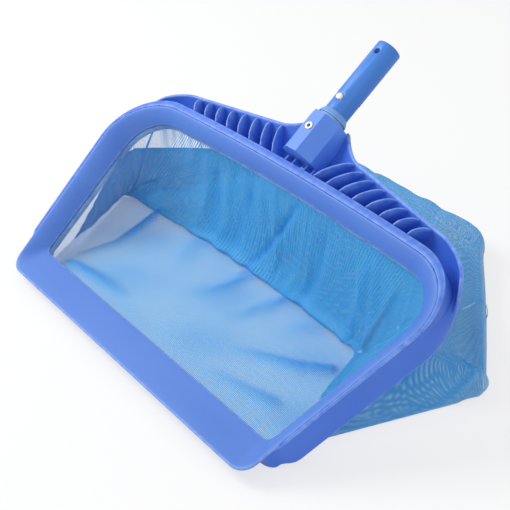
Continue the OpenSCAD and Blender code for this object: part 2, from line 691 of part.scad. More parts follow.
// Where the panels pass at level j: 0 top edge, 1 under the ledge, 3 waist, 5 puffed rim, 6 ground.
function net_line(i, j) =
    let(w = flare(half_of(i)), m = inner_loop[i] + normal_at(inner_loop, i) * (net_out - net_wall))
    let(low = net_wall + seat_gap, g = floor_loop[i] - normal_at(floor_loop, i) * net_wall)
    let(under_ledge = laid([m[0], m[1], net_turn]), ground = [g[0], g[1], low])
    let(waist = mix(mix(under_ledge, ground, 0.5), [waist_loop[i][0], waist_loop[i][1], low + 1.2], w))
    let(e = g - normal_at(floor_loop, i) * 4)
    let(rim = mix(mix(under_ledge, ground, 0.8), [e[0], e[1], bag_puff], w))
    j <= 0 ? laid([m[0], m[1], net_top])
    : j == 1 ? under_ledge
    : j == 2 ? mix(under_ledge, waist, 0.5)
    : j == 3 ? waist
    : j == 4 ? mix(waist, rim, 0.5) + [0, 0, 5 * w]
    : j == 5 ? rim
    : ground;

// Direction of a panel's outer face at level j, a little longer where the cloth folds.
function net_face(i, j) =
    let(before = unit(net_line(i, j) - net_line(i, j - 1)), after = unit(net_line(i, j + 1) - net_line(i, j)))
    let(along = net_line((i + 1) % n_loop, j) - net_line((i + n_loop - 1) % n_loop, j))
    unit(cross(before + after, along)) / max(0.7, norm(before + after) / 2);

// A point of the panels at level j, offset o outward from the inner face.
function net_at(i, j, o) =
    let(m = normal_at(inner_loop, i), n = normal_at(floor_loop, i))
    net_line(i, j) + o * (j <= 1 ? [m[0], m[1] * rest_cos, m[1] * rest_sin]
        : j == n_level ? [n[0], n[1], 0]
        : net_face(i, j));

module net_panel(first, last) {
    rows = [for (i = [first:last]) (i + n_loop) % n_loop];
    sheet_loft([for (k = rows) [for (j = [0:n_level]) net_at(k, j, net_wall)]],
        [for (k = rows) [for (j = [0:n_level]) net_at(k, j, 0)]]);
}

seam_front = n_front + n_lipc / 2;
seam_back = i_corner + n_backc / 2;

module net_front() {
    color([0.55, 0.72, 0.86]) net_panel(-seam_front, seam_front);
}

module net_right() {
    color([0.50, 0.68, 0.86]) net_panel(seam_front, seam_back);
}

module net_back() {
    color([0.42, 0.62, 0.86]) net_panel(seam_back, n_loop - seam_back);
}

module net_left() {
    color([0.50, 0.68, 0.86]) net_panel(n_loop - seam_back, n_loop - seam_front);
}

module net_floor() {
    color([0.46, 0.66, 0.86]) linear_extrude(net_wall)
        polygon([for (i = [0:n_loop - 1]) flat(floor_loop[i])]);
}

module net_hem() {
    z0 = -ledge_drop + seat_gap;
    inner = net_out - net_wall;
    color([0.70, 0.80, 0.88]) place() ring_loft([
        for (c = [[0, 0], [0, 0.8], [0.5, 1], [0.9, 1], [1, 0.8], [1, 0]])
        [for (i = [0:n_loop - 1])
            let(p = inner_loop[i] + normal_at(inner_loop, i) * (inner + hem_width * c[0]))
            [p[0], p[1], z0 + hem_height * c[1]]]
    ]);
}

// Tape over the seam at outline index i, outside the panels.
module seam_tape(i) {
    reach = tape_width / 2;
    before = (i + n_loop - 1) % n_loop;
    after = (i + 1) % n_loop;
    bar_loft([for (j = [1:n_level])
        let(inside = net_wall + tape_seat, outside = net_wall + tape_seat + tape_wall)
        let(c0 = net_at(i, j, inside), a = net_at(before, j, inside), b = net_at(after, j, inside))
        let(c1 = net_at(i, j, outside), a1 = net_at(before, j, outside), b1 = net_at(after, j, outside))
        let(fa = min(0.9, reach / norm(a - c0)), fb = min(0.9, reach / norm(b - c0)))
        let(row = [mix(c0, a, fa), c0, mix(c0, b, fb), mix(c1, b1, fb), c1, mix(c1, a1, fa)])
        j == 1 ? [for (p = row) mix(p, net_at(i, 2, inside), 0.04)]
        : j == n_level ? [for (p = row) mix(p, net_at(i, n_level - 1, inside), 0.04)]
        : row]);
}

module seam_tape_front_right() {
    color([0.66, 0.78, 0.90]) seam_tape(seam_front);
}

module seam_tape_back_right() {
    color([0.66, 0.78, 0.90]) seam_tape(seam_back);
}

module seam_tape_back_left() {
    color([0.66, 0.78, 0.90]) seam_tape(n_loop - seam_back);
}

module seam_tape_front_left() {
    color([0.66, 0.78, 0.90]) seam_tape(n_loop - seam_front);
}

mouth_bezel();
frame_shell();
brace_right();
brace_left();
hub_housing();
handle_tube();
spigot_collar();
hub_rivet();
clip_bow();
clip_arm_upper();
clip_arm_lower();
button_upper();
button_lower();
net_hem();
net_front();
net_right();
net_back();
net_left();
net_floor();
seam_tape_front_right();
seam_tape_back_right();
seam_tape_back_left();
seam_tape_front_left();
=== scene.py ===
import math

import bmesh
import bpy
import numpy as np
from mathutils import Matrix, Vector


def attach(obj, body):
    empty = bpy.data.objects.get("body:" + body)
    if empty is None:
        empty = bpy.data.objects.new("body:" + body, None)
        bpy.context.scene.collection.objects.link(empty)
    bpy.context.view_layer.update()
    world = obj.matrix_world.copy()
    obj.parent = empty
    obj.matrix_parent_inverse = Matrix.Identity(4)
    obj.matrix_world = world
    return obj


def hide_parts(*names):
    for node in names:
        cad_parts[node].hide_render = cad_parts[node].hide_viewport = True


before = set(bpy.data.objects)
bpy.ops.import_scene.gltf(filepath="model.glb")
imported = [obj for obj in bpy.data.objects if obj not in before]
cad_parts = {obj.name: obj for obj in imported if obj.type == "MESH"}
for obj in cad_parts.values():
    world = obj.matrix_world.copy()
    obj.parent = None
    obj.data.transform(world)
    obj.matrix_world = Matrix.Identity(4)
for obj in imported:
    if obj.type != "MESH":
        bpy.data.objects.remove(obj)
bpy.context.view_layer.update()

# --- Mouth bezel ---------------------------------------------------------------------------
# The upper half of the scoop's mouth: one polypropylene moulding, a funnel whose sides and
# back round over and whose front runs out as a thin straight lip. It snaps over the shell
# below and clamps the hem of the net.
mm = 0.001
mouth_depth, lip_width, side_splay, back_bow = 205.9, 382.6, 11.3, 3200.0
mouth_corners, crest_corners, crest_splay = (9, 42), (20, 60), 12.4
lip_reach, lip_rise, side_reach, side_rise, back_reach, back_rise = 37.3, 14.0, 17.8, 18.4, 14.0, 13.4
bezel_wall, funnel_round, edge_drop = 3.2, 0.7, 1.3
mouth_lean, bag_reach, hub_half = math.radians(30), 218.0, 21.45
shell_depth, front_share, under_lip = 15.0, 0.405, 0.8

# Points round half the mouth: lip, lip corner, side, back corner and back.
n_front, n_lipc, n_side, n_backc, n_back = 12, 12, 26, 22, 44
n_half = n_front + n_lipc + n_side + n_backc + n_back + 1
n_loop = 2 * n_half - 2
i_side = n_front + n_lipc
i_corner = i_side + n_side
i_back = i_corner + n_backc
half_index = [i if i < n_half else n_loop - i for i in range(n_loop)]

rest_cos, rest_sin = math.cos(mouth_lean), math.sin(mouth_lean)
foot_y = mouth_depth + lip_reach * front_share + under_lip
lift = foot_y * rest_sin + shell_depth * rest_cos
reach_front = (mouth_depth + lip_reach) * rest_cos + (lip_rise - edge_drop) * rest_sin
shift_y = (reach_front - bag_reach) / 2


def mix(a, b, t):
    return a + (b - a) * t


def ease(t):
    t = min(max(t, 0.0), 1.0)
    return t * t * (3 - 2 * t)


def round_corner(p, a, b, radius, steps):
    """The arc that rounds the corner p between the lines to a and b."""
    u, v = (a - p) / np.linalg.norm(a - p), (b - p) / np.linalg.norm(b - p)
    half = math.acos(float(u @ v)) / 2
    centre = p + (u + v) / np.linalg.norm(u + v) * radius / math.sin(half)
    q = p + u * radius / math.tan(half) - centre
    start, turn = math.atan2(q[1], q[0]), math.pi - 2 * half
    angles = [start + turn * i / steps for i in range(steps + 1)]
    return [centre + radius * np.array([math.cos(angle), math.sin(angle)]) for angle in angles]


def both_sides(right, left):
    """A closed loop from the points of its right half and, mirrored, of its left half."""
    return np.array(right + [p * [-1, 1] for p in left[-2:0:-1]])


def mouth_outline(front_y, back_y, front_x, splay, front_corner, back_corner):
    """A loop with a straight front, splayed sides, round corners and a back that bows to the hub."""
    slope = math.tan(math.radians(splay))
    corner_x = front_x + slope * (back_y - front_y)
    drop = corner_x * corner_x / (2 * back_bow)
    front = np.array([front_x, front_y])
    back = np.array([front_x + slope * (back_y - drop - front_y), back_y - drop])
    arc_f = round_corner(front, np.array([0, front_y]), back, front_corner, n_lipc)
    arc_b = round_corner(back, front, back + np.array([-1, 2 * drop / corner_x]), back_corner, n_backc)
    end = arc_b[-1]
    half = [np.array([arc_f[0][0] * i / n_front, front_y]) for i in range(n_front)] + arc_f
    half += [mix(arc_f[-1], arc_b[0], i / n_side) for i in range(1, n_side)] + arc_b
    for i in range(1, n_back):
        x = mix(end[0], hub_half, i / (n_back - 1))
        half.append(np.array([x, back_y - (back_y - end[1]) * (x / end[0]) ** 2]))
    half.append(np.array([0.0, back_y]))
    return both_sides(half, half)


def outward(loop):
    d = np.roll(loop, -1, 0) - np.roll(loop, 1, 0)
    d /= np.linalg.norm(d, axis=1)[:, None]
    return np.stack([d[:, 1], -d[:, 0]], 1)


def laid(points):
    """Points on the mouth's own plane, leaned back as the rake lies on the ground."""
    p = np.asarray(points, float)
    return np.stack([p[..., 0], p[..., 1] * rest_cos - p[..., 2] * rest_sin + shift_y,
                     p[..., 1] * rest_sin + p[..., 2] * rest_cos + lift], -1)


crest_half = lip_width / 2 + side_reach - math.tan(math.radians(side_splay)) * lip_reach
inner_loop = mouth_outline(-mouth_depth, 0, lip_width / 2, side_splay, *mouth_corners)
crest_loop = mouth_outline(-mouth_depth - lip_reach, back_reach, crest_half, crest_splay, *crest_corners)
crest_out = outward(crest_loop)


def crest_height(h):
    if h <= i_corner:
        return mix(lip_rise, side_rise, max(0, h - i_side) / n_side)
    return mix(side_rise, back_rise, ease((h - i_corner) / n_backc))


rounding_run = n_lipc * 1.6
crest_z = np.array([crest_height(h) for h in half_index])
roundness = np.array([1 + funnel_round * ease((h - n_front) / rounding_run) for h in half_index])


def bezel_ring(share, height, domed):
    """A ring at a share of the way from mouth to crest, and a height above the funnel there."""
    rise = (1 - (1 - share) ** roundness) if domed else share
    return laid(np.column_stack([mix(inner_loop, crest_loop, share), rise * crest_z + height]))


def placed(name, data):
    """A new object in the scene, at the origin."""
    obj = bpy.data.objects.new(name, data)
    bpy.context.scene.collection.objects.link(obj)
    return obj


def smoothed(mesh, angle):
    for p in mesh.polygons:
        p.use_smooth = True
    mesh.set_sharp_from_angle(angle=math.radians(angle))


def skinned(name, rings, edge=None, closed=True):
    """A skin lofted over rings of points in millimetres, with a share of pale edge tone for each ring,
    partly wear and partly painted highlight.
    """
    m, n = len(rings), len(rings[0])
    faces = []
    for j in range(m if closed else m - 1):
        for i in range(n):
            a, b = j * n + i, j * n + (i + 1) % n
            c, d = ((j + 1) % m) * n + i, ((j + 1) % m) * n + (i + 1) % n
            faces.append((a, c, d, b))
    mesh = bpy.data.meshes.new(name)
    verts = np.concatenate([np.asarray(ring, float) for ring in rings]) * mm
    mesh.from_pydata([tuple(v) for v in verts], [], faces)
    obj = placed(name, mesh)
    if edge is not None:
        layer = mesh.attributes.new("edge", "FLOAT", "POINT")
        layer.data.foreach_set("value", np.repeat(np.asarray(edge, float), n))
    bm = bmesh.new()
    bm.from_mesh(mesh)
    bmesh.ops.recalc_face_normals(bm, faces=bm.faces)
    bm.to_mesh(mesh)
    bm.free()
    smoothed(mesh, 42)
    return obj


def node_of(tree, kind, place, **values):
    """A node with its settings, in small letters, and its inputs, with a capital."""
    n = tree.nodes.new(kind)
    n.location = place
    for key, value in values.items():
        if key[0].isupper():
            n.inputs[key.replace("_", " ")].default_value = value
        else:
            setattr(n, key, value)
    return n


def maths(tree, operation, place, second=0.5):
    n = node_of(tree, "ShaderNodeMath", place, operation=operation)
    n.inputs[1].default_value = second
    return n


def noise(tree, vector, place, scale, detail, roughness=0.5):
    n = node_of(tree, "ShaderNodeTexNoise", place, Scale=scale, Detail=detail, Roughness=roughness)
    tree.links.new(vector, n.inputs["Vector"])
    return n


def linear(rgb):
    """A colour written as 0 to 255, as the linear value that a socket takes."""
    shares = [c / 255 for c in rgb]
    return tuple(s / 12.92 if s <= 0.04045 else ((s + 0.055) / 1.055) ** 2.4 for s in shares) + (1.0,)


def two_tone(tree, place, first, second):
    n = node_of(tree, "ShaderNodeMix", place, data_type="RGBA")
    n.inputs[6].default_value, n.inputs[7].default_value = linear(first), linear(second)
    return n


def wired(tree, *runs):
    """Links, each from a node's output to another node's input."""
    for source, output, target, into in runs:
        tree.links.new(source.outputs[output], target.inputs[into])


def new_finish(name, **constants):
    """A material with the constants of its shader set, its tree and its shader."""
    mat = bpy.data.materials.new(name)
    mat.use_nodes = True
    shader = mat.node_tree.nodes["Principled BSDF"]
    for key, value in constants.items():
        shader.inputs[key.replace("_", " ")].default_value = value
    return mat, mat.node_tree, shader


def moulded_plastic(name, face, shade, wear_and_highlight, roughness=0.36, grain=0.05):
    """Moulded polypropylene: faint flow marks, tool grain, hair scuffs and paler edges, partly rubbing wear
    and partly painted highlight.
    """
    mat, t, shader = new_finish(name, IOR=1.49, Specular_IOR_Level=0.34, Subsurface_Weight=0.0)
    where = node_of(t, "ShaderNodeTexCoord", (-1500, 0)).outputs["Object"]
    stretch = node_of(t, "ShaderNodeMapping", (-1300, 200), Scale=(5.0, 16.0, 12.0))
    flow = noise(t, stretch.outputs[0], (-1100, 200), 1.0, 3.0)
    flow_range = node_of(t, "ShaderNodeMapRange", (-900, 200), From_Min=0.3, From_Max=0.7)
    tone = two_tone(t, (-700, 200), shade, face)
    scuff_map = node_of(t, "ShaderNodeMapping", (-1300, -100), Rotation=(0.2, 0.3, 0.6),
                        Scale=(60.0, 900.0, 300.0))
    scuff = noise(t, scuff_map.outputs[0], (-1100, -100), 1.0, 4.0, 0.55)
    scuff_cut = node_of(t, "ShaderNodeMapRange", (-900, -100), From_Min=0.66, From_Max=0.78)
    # Paler tone where the edge attribute is high: part wear and part painted highlight.
    edge = node_of(t, "ShaderNodeAttribute", (-1100, 450), attribute_name="edge")
    rub = noise(t, where, (-1100, 620), 140.0, 3.0)
    edge_wear_highlight = maths(t, "MULTIPLY", (-900, 520))
    edge_wear_highlight_cut = node_of(t, "ShaderNodeMapRange", (-740, 520), From_Min=0.15, From_Max=0.75)
    pale = two_tone(t, (-500, 300), face, wear_and_highlight)
    rough = node_of(t, "ShaderNodeMapRange", (-500, -50), To_Min=roughness, To_Max=roughness + 0.16)
    rough_add = maths(t, "ADD", (-300, -50))
    scuff_small = maths(t, "MULTIPLY", (-500, -250), 0.10)
    fine = noise(t, where, (-700, -400), 2600.0, 2.0, 0.6)
    broad = noise(t, where, (-700, -600), 34.0, 2.0)
    bump_fine = node_of(t, "ShaderNodeBump", (-250, -400), Strength=grain, Distance=0.00012)
    bump_broad = node_of(t, "ShaderNodeBump", (-450, -500), Strength=0.05, Distance=0.0006)
    t.links.new(where, stretch.inputs["Vector"])
    t.links.new(where, scuff_map.inputs["Vector"])
    wired(t, (flow, "Fac", flow_range, "Value"), (flow_range, 0, tone, 0), (tone, 2, pale, 6),
          (pale, 2, shader, "Base Color"),
          (edge, "Fac", edge_wear_highlight, 0), (rub, "Fac", edge_wear_highlight, 1), (edge_wear_highlight, 0, edge_wear_highlight_cut, "Value"),
          (edge_wear_highlight_cut, 0, pale, 0), (flow, "Fac", rough, "Value"), (rough, 0, rough_add, 0),
          (scuff, "Fac", scuff_cut, "Value"), (scuff_cut, 0, scuff_small, 0), (scuff_small, 0, rough_add, 1),
          (rough_add, 0, shader, "Roughness"), (broad, "Fac", bump_broad, "Height"),
          (fine, "Fac", bump_fine, "Height"), (bump_broad, 0, bump_fine, "Normal"),
          (bump_fine, 0, shader, "Normal"))
    return mat


scoop_blue = moulded_plastic("moulded_scoop_blue", (88, 131, 212), (80, 122, 206), (140, 172, 234))

# The section from the mouth's edge over the funnel to the crest and back underneath. A row holds
# the share of the way out, the height, whether the ring follows the dome, and the pale edge tone, part wear
# and part painted highlight.
bezel_rows = [(0, -bezel_wall + 0.7, False, 0.3), (-0.012, -1.9, False, 0.5), (-0.016, -1.1, False, 0.6),
              (-0.008, -0.45, True, 0.8), (0.012, -0.05, True, 0.7), (0.05, 0.08, True, 0.2)]
bezel_rows += [(out, 0.1, True, 0) for out in (0.12, 0.2, 0.3, 0.4, 0.5, 0.6, 0.7)]
bezel_rows += [(0.8, 0.08, True, 0), (0.88, 0.03, True, 0.1), (0.93, -0.05, True, 0.35),
               (0.965, -0.3, True, 0.75), (0.988, -0.7, True, 1.0), (1.0, -1.3, True, 0.9),
               (1.0, -2.1, True, 0.5), (0.998, -2.8, True, 0.4), (0.985, -bezel_wall, True, 0.2)]
bezel_rows += [(out, -bezel_wall, False, 0) for out in (0.94, 0.5, 0.04)]
bezel_rings = [bezel_ring(*row[:3]) for row in bezel_rows]
bezel = skinned("mouth_bezel_moulding", bezel_rings, [row[3] for row in bezel_rows])
bezel.data.materials.append(scoop_blue)
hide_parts("mouth_bezel")
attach(bezel, "rake")

# --- Frame shell ---------------------------------------------------------------------------
# The lower half of the mouth, in a like blue polypropylene: a drafted outer wall that the frame
# stands on, a crest strip outside the bezel's edge, and an inner ledge that clamps the net's hem
# against the bezel.
shell_wall, shell_draft, least_draft, side_strip, back_strip = 3.0, 4.2, 0.6, 2.6, 8.4
lip_spread, seat_gap, run_in = 0.2, 0.25, 5
ledge_drop, ledge_wall, ledge_back = 6.2, 2.8, 2.6


def by_stretch(front, lip, side, corner):
    """A value for each outline point, from those of the front, lip corner, side and back corner."""
    out = []
    for h in half_index:
        if h <= n_front:
            out.append(front)
        elif h <= i_side:
            out.append(lip((h - n_front) / n_lipc))
        elif h <= i_corner:
            out.append(side((h - i_side) / n_side))
        else:
            out.append(corner(ease((h - i_corner) / n_backc)))
    return np.array(out)


def steady(value):
    return lambda t: value


def going(start, end):
    return lambda t: mix(start, end, t)


def run_into(start, end):
    """From start to end over the side's first few points."""
    return lambda t: mix(start, end, ease(t * n_side / run_in))


share = by_stretch(front_share, lambda t: front_share + lip_spread * t * t,
                   run_into(front_share + lip_spread, 1.0), steady(1.0))
strip = by_stretch(under_lip, steady(under_lip), run_into(under_lip, side_strip),
                   going(side_strip, back_strip))
rim_up = by_stretch(under_lip / 2, steady(under_lip / 2), run_into(under_lip / 2, bezel_wall),
                    steady(bezel_wall))
draft = by_stretch(least_draft, going(least_draft, shell_draft), steady(shell_draft),
                   going(shell_draft, least_draft))
lip_drop = by_stretch(under_lip, steady(under_lip), run_into(under_lip, 0), steady(0.0))
shell_base = mix(inner_loop, crest_loop, share[:, None])
shell_top = share * crest_z - bezel_wall - seat_gap - lip_drop
top_face = shell_top + rim_up


def with_z(xy, z):
    return np.column_stack([xy, np.broadcast_to(np.asarray(z, float), (n_loop,))])


def shell_ring(offset, z):
    offset = np.broadcast_to(np.asarray(offset, float), (n_loop,))
    return laid(with_z(shell_base + crest_out * offset[:, None], z))


def ledge_ring(z):
    return laid(with_z(inner_loop + outward(inner_loop) * ledge_back, z))


def wall_out(z):
    """How far the drafted wall stands out of the shell's base line at a height."""
    return strip + draft * (top_face - z) / (top_face + shell_depth)


# The section from the seat under the bezel over the strip, down the wall, round its foot and up
# inside to the ledge. A row holds the offset, the height and the pale edge tone, part wear and part painted
# highlight.
foot_z, foot_out, mid_z = -shell_depth, wall_out(-shell_depth), mix(top_face, -shell_depth, 0.5)
ledge_low = -ledge_drop - ledge_wall
shell_rows = [(-2.6, shell_top - 2.4, 0), (-2.6, shell_top - 0.5, 0), (0.12, shell_top, 0),
              (0.14, top_face - 0.25, 0.5), (0.3, top_face, 0.9), (0.3 + 0.45 * strip, top_face + 0.08, 0.3),
              (strip - 0.55, top_face, 0.7), (strip - 0.1, top_face - 0.35, 1.0),
              (wall_out(top_face - 1.1) + 0.05, top_face - 1.1, 0.8),
              (wall_out(top_face - 2.2), top_face - 2.2, 0.1), (wall_out(mid_z), mid_z, 0),
              (wall_out(foot_z + 2.0), foot_z + 2.0, 0.2), (foot_out + 0.1, foot_z + 0.9, 0.8),
              (foot_out - 0.2, foot_z + 0.25, 1.0), (foot_out - 0.8, foot_z, 0.7),
              (foot_out - shell_wall + 0.4, foot_z, 0.4), (foot_out - shell_wall, foot_z + 0.5, 0.3),
              (wall_out(ledge_low) - shell_wall, ledge_low, 0)]
shell_rings = [shell_ring(out, z) for out, z, wear_and_highlight in shell_rows]
shell_rings += [ledge_ring(ledge_low), ledge_ring(-ledge_drop),
                shell_ring(wall_out(-ledge_drop) - shell_wall, -ledge_drop)]
shell = skinned("frame_shell_moulding", shell_rings, [wear_and_highlight for out, z, wear_and_highlight in shell_rows] + [0.2, 0.2, 0])
shell_blue = moulded_plastic("moulded_shell_blue", (72, 118, 218), (64, 110, 212), (140, 175, 240))
shell.data.materials.append(shell_blue)
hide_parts("frame_shell")
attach(shell, "rake")

# --- Brace pans and fins -------------------------------------------------------------------
# A dished pan on each side of the hub, moulded with the shell, that carries the load of a full
# net from the pole into the frame. Eight thin upright fins stiffen each pan and lean outward.
pan_depth, pan_wall, rim_height, rim_width, rim_line, rim_fall = 12.0, 2.6, 3.84, 3.0, 70.0, 0.1667
flare_rise, flare_run, late_start = 17.7, 36.6, 0.12
fin_count, fin_start, fin_pitch, fin_wall, fin_lean = 8, 32.1, 18.77, 1.9, math.radians(33)
fin_crest = 0.25


def rim_y(x):
    near_hub = max(0.0, hub_half + flare_run - x) / flare_run
    return rim_line - rim_fall * x + flare_rise * near_hub ** 1.8


def pan_height(q):
    return mix(-pan_depth, rim_height, q ** 1.5)


def rim_reach(i):
    """How far the pan's rim stands out of the shell's base line at an outline point."""
    if i >= i_back:
        at = shell_base[i] + crest_out[i] * foot_out[i]
        return (rim_y(abs(at[0])) - at[1]) / crest_out[i][1]
    full = shell_base[i_back] + crest_out[i_back] * foot_out[i_back]
    opened = max(0.0, (i - i_corner) / n_backc - late_start) / (1 - late_start)
    return (rim_y(abs(full[0])) - full[1]) * opened


# Where a pan closes up, its section's upper 19 points lie on the wall's face, a little proud of
# it, and its lower 12 points inside the wall.
n_upper, n_lower = 19, 12
close_top, close_foot = back_rise - 3.0, -shell_depth + 1.5
closing = [mix(close_top, close_foot, k / (n_upper - 1)) for k in range(n_upper)]
closing += [mix(close_foot, close_top, k / (n_lower - 1)) for k in range(n_lower)]
swell = [0.1 + 2.4 * math.sin(math.pi * k / (n_upper - 1)) for k in range(n_upper)] + [-0.9] * n_lower
pan_shares = [0, 0.08, 0.18, 0.28, 0.38, 0.48, 0.58, 0.68, 0.78, 0.87, 0.94, 0.985]
# The pans' pale edge tone along the rim, part wear and part painted highlight.
pan_wear_and_highlight = [0] * 10 + [0.2, 0.6, 0.8, 0.9, 1, 0.9, 0.3] + [0] * 14


def pan_row(i):
    """One section of a pan and its pale edge tone, partly wear and partly painted highlight. Towards its
    outer end it closes up against the wall.
    """
    w, root = max(rim_reach(i) - 0.1, foot_out[i] + 2.0), foot_out[i] + 0.15
    span, rim_foot = w - min(rim_width, w * 0.3), rim_height - pan_wall - 2
    row = [(root + span * q, pan_height(q)) for q in pan_shares]
    row += [(root + span + 0.3, rim_height + 0.05), (root + w - 0.7, rim_height),
            (root + w - 0.15, rim_height - 0.2), (root + w, rim_height - 0.8),
            (root + w, rim_height - pan_wall - 1.6), (root + w - 0.3, rim_foot), (root + w - 1.6, rim_foot)]
    row += [(root + span * q * 0.98, pan_height(q) - pan_wall) for q in reversed(pan_shares)]
    along = (i - i_corner) / n_backc
    open_out, full = ease((along - 0.15) / 0.6), ease(along / 0.5)
    section = []
    for (out, z), shut_z, proud in zip(row, closing, swell):
        shut_out = wall_out(shut_z)[i] + min(proud, proud * full)
        xy = shell_base[i] + crest_out[i] * mix(shut_out, out, open_out)
        section.append((*xy, mix(shut_z, z, open_out)))
    return section, list(np.array(pan_wear_and_highlight) * open_out)


def fin_top(s):
    """The height of a fin's crest, which rises from the bezel's edge and bows down to the rim."""
    if s < fin_crest:
        return mix(back_rise - 0.6, back_rise + 1.3, ease(s / fin_crest))
    fall = max(0.0, 1 - ((s - fin_crest) / (1 - fin_crest)) ** 2.1) ** 0.62
    return mix(rim_height + 0.4, back_rise + 1.3, fall)


def fin_rows(k):
    x = fin_start + fin_pitch * k
    face = wall_out(back_rise - 2)
    line = np.array([shell_base[i] + crest_out[i] * face[i] for i in range(i_corner, n_half)])
    root = np.array([x, float(np.interp(x, line[::-1, 0], line[::-1, 1])) + 0.35])
    lean = np.array([math.sin(fin_lean), math.cos(fin_lean)])
    side = np.array([lean[1], -lean[0]])
    reach = (rim_y(x + 20) - 1.2 - root[1]) / (lean[1] + rim_fall * lean[0])
    rows, w = [], fin_wall / 2
    for s in np.linspace(0, 1, 26):
        centre, low_z, top_z = root + lean * reach * s, pan_height(min(1, s * 0.93)) - 1.0, fin_top(s)
        half = [(w + 0.25, low_z), (w + 0.05, mix(low_z, top_z, 0.25)), (w, top_z - 0.9),
                (w * 0.72, top_z - 0.25)]
        profile = [(-u, z) for u, z in half] + [(0, top_z)] + half[::-1]
        rows.append([(*(centre + side * u), max(z, low_z)) for u, z in profile])
    return rows


def closed_bar(name, rows, edges):
    """A bar lofted along rows of like sections, its two ends filled."""
    n = len(rows[0])
    obj = skinned(name, rows, None, closed=False)
    bm = bmesh.new()
    bm.from_mesh(obj.data)
    bm.verts.ensure_lookup_table()
    for start in (0, (len(rows) - 1) * n):
        bm.faces.new([bm.verts[start + i] for i in range(n)])
    bmesh.ops.recalc_face_normals(bm, faces=bm.faces)
    bm.to_mesh(obj.data)
    bm.free()
    layer = obj.data.attributes.new("edge", "FLOAT", "POINT")
    layer.data.foreach_set("value", np.asarray(edges, float).ravel())
    smoothed(obj.data, 38)
    return obj


def joined(name, parts):
    with bpy.context.temp_override(active_object=parts[0], object=parts[0], selected_objects=parts,
                                   selected_editable_objects=parts):
        bpy.ops.object.join()
    parts[0].name = name
    return parts[0]


# The fins' pale tone along each crest, part wear and part painted highlight.
fin_wear_and_highlight = [0, 0, 0.7, 1, 1, 1, 0.7, 0, 0]
pan = [pan_row(i) for i in range(i_corner + 1, n_half - 1)]
pan.append(([(x - 2.0, y, z) for x, y, z in pan[-1][0]], pan[-1][1]))
for side_name, sign in (("right", 1), ("left", -1)):
    turned = np.array([sign, 1, 1])
    pan_rows = [laid(np.array(section) * turned) for section, wear_and_highlight in pan]
    pieces = [closed_bar(f"pan_{side_name}", pan_rows, [wear_and_highlight for section, wear_and_highlight in pan])]
    for k in range(fin_count):
        rows = [laid(np.array(row) * turned) for row in fin_rows(k)]
        pieces.append(closed_bar(f"fin_{side_name}_{k}", rows, [fin_wear_and_highlight] * len(rows)))
    brace = joined(f"brace_{side_name}_moulding", pieces)
    brace.data.materials.clear()
    brace.data.materials.append(shell_blue)
    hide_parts(f"brace_{side_name}")
    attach(brace, "rake")

# --- Hub, spigot, collar, rivet, clip and buttons ------------------------------------------
# The eight-sided hub is moulded with the shell; the tubular spigot for the pole is pushed in
# and held by one tubular rivet through both. A flared grey-blue collar covers the joint, and
# a white nylon spring clip inside the spigot carries the two snap buttons.
# The pale tone on eased corners is part wear and part painted highlight.
corner_angle, broad_face, corner_wear_and_highlight = 32, 4e-6, 0.7


def finished_copy(node, name, width, material, body="rake", segments=2):
    """A CAD node's solid with its corners eased and given a pale tone of wear and painted highlight, and its
    round faces smooth.
    """
    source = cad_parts[node]
    mesh = source.data.copy()
    mesh.transform(source.matrix_world)
    obj = placed(name, mesh)
    for old in list(mesh.attributes):
        if old.name.startswith("custom_normal") or old.name in ("sharp_edge", "sharp_face"):
            mesh.attributes.remove(old)
    bm = bmesh.new()
    bm.from_mesh(mesh)
    bmesh.ops.remove_doubles(bm, verts=bm.verts, dist=2e-6)
    bmesh.ops.dissolve_limit(bm, angle_limit=math.radians(1.0), verts=bm.verts, edges=bm.edges)
    edge_tone_layer = bm.verts.layers.float.new("edge")
    least = math.radians(corner_angle)
    sharp = [e for e in bm.edges if len(e.link_faces) == 2 and e.calc_face_angle(0) > least]
    made = bmesh.ops.bevel(bm, geom=sharp, offset=width * mm, offset_type="OFFSET", segments=segments,
                           profile=0.5, affect="EDGES", clamp_overlap=True, harden_normals=False)
    for v in made["verts"]:
        v[edge_tone_layer] = 0.0 if any(f.calc_area() > broad_face for f in v.link_faces) else corner_wear_and_highlight
    bmesh.ops.triangulate(bm, faces=[f for f in bm.faces if len(f.verts) > 4])
    bm.to_mesh(mesh)
    bm.free()
    smoothed(mesh, 35)
    mesh.materials.clear()
    mesh.materials.append(material)
    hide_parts(node)
    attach(obj, body)


# The hub is moulded with the shell, but its blue is painted lighter than the shell's: painted light on its
# top.
lit_hub_blue = moulded_plastic("moulded_hub_blue", (98, 146, 236), (90, 138, 230), (150, 184, 244))
pipe_blue = moulded_plastic("moulded_pipe_blue", (70, 132, 216), (62, 124, 210), (125, 170, 228), 0.3, 0.03)
collar_grey = moulded_plastic("moulded_collar_grey", (122, 168, 224), (112, 158, 218), (180, 205, 232), 0.45)
clip_white = moulded_plastic("moulded_clip_white", (236, 238, 240), (228, 230, 234), (250, 250, 250), 0.42)
rivet_metal, t, shader = new_finish("rolled_rivet_metal", Metallic=0.55)
where = node_of(t, "ShaderNodeTexCoord", (-900, 0)).outputs["Object"]
speck = noise(t, where, (-700, 0), 900.0, 4.0)
tone = two_tone(t, (-400, 100), (172, 167, 156), (214, 209, 198))
rough = node_of(t, "ShaderNodeMapRange", (-400, -150), To_Min=0.28, To_Max=0.5)
dent = node_of(t, "ShaderNodeBump", (-200, -300), Strength=0.15, Distance=0.0002)
wired(t, (speck, "Fac", tone, 0), (tone, 2, shader, "Base Color"), (speck, "Fac", rough, "Value"),
      (rough, 0, shader, "Roughness"), (speck, "Fac", dent, "Height"), (dent, 0, shader, "Normal"))

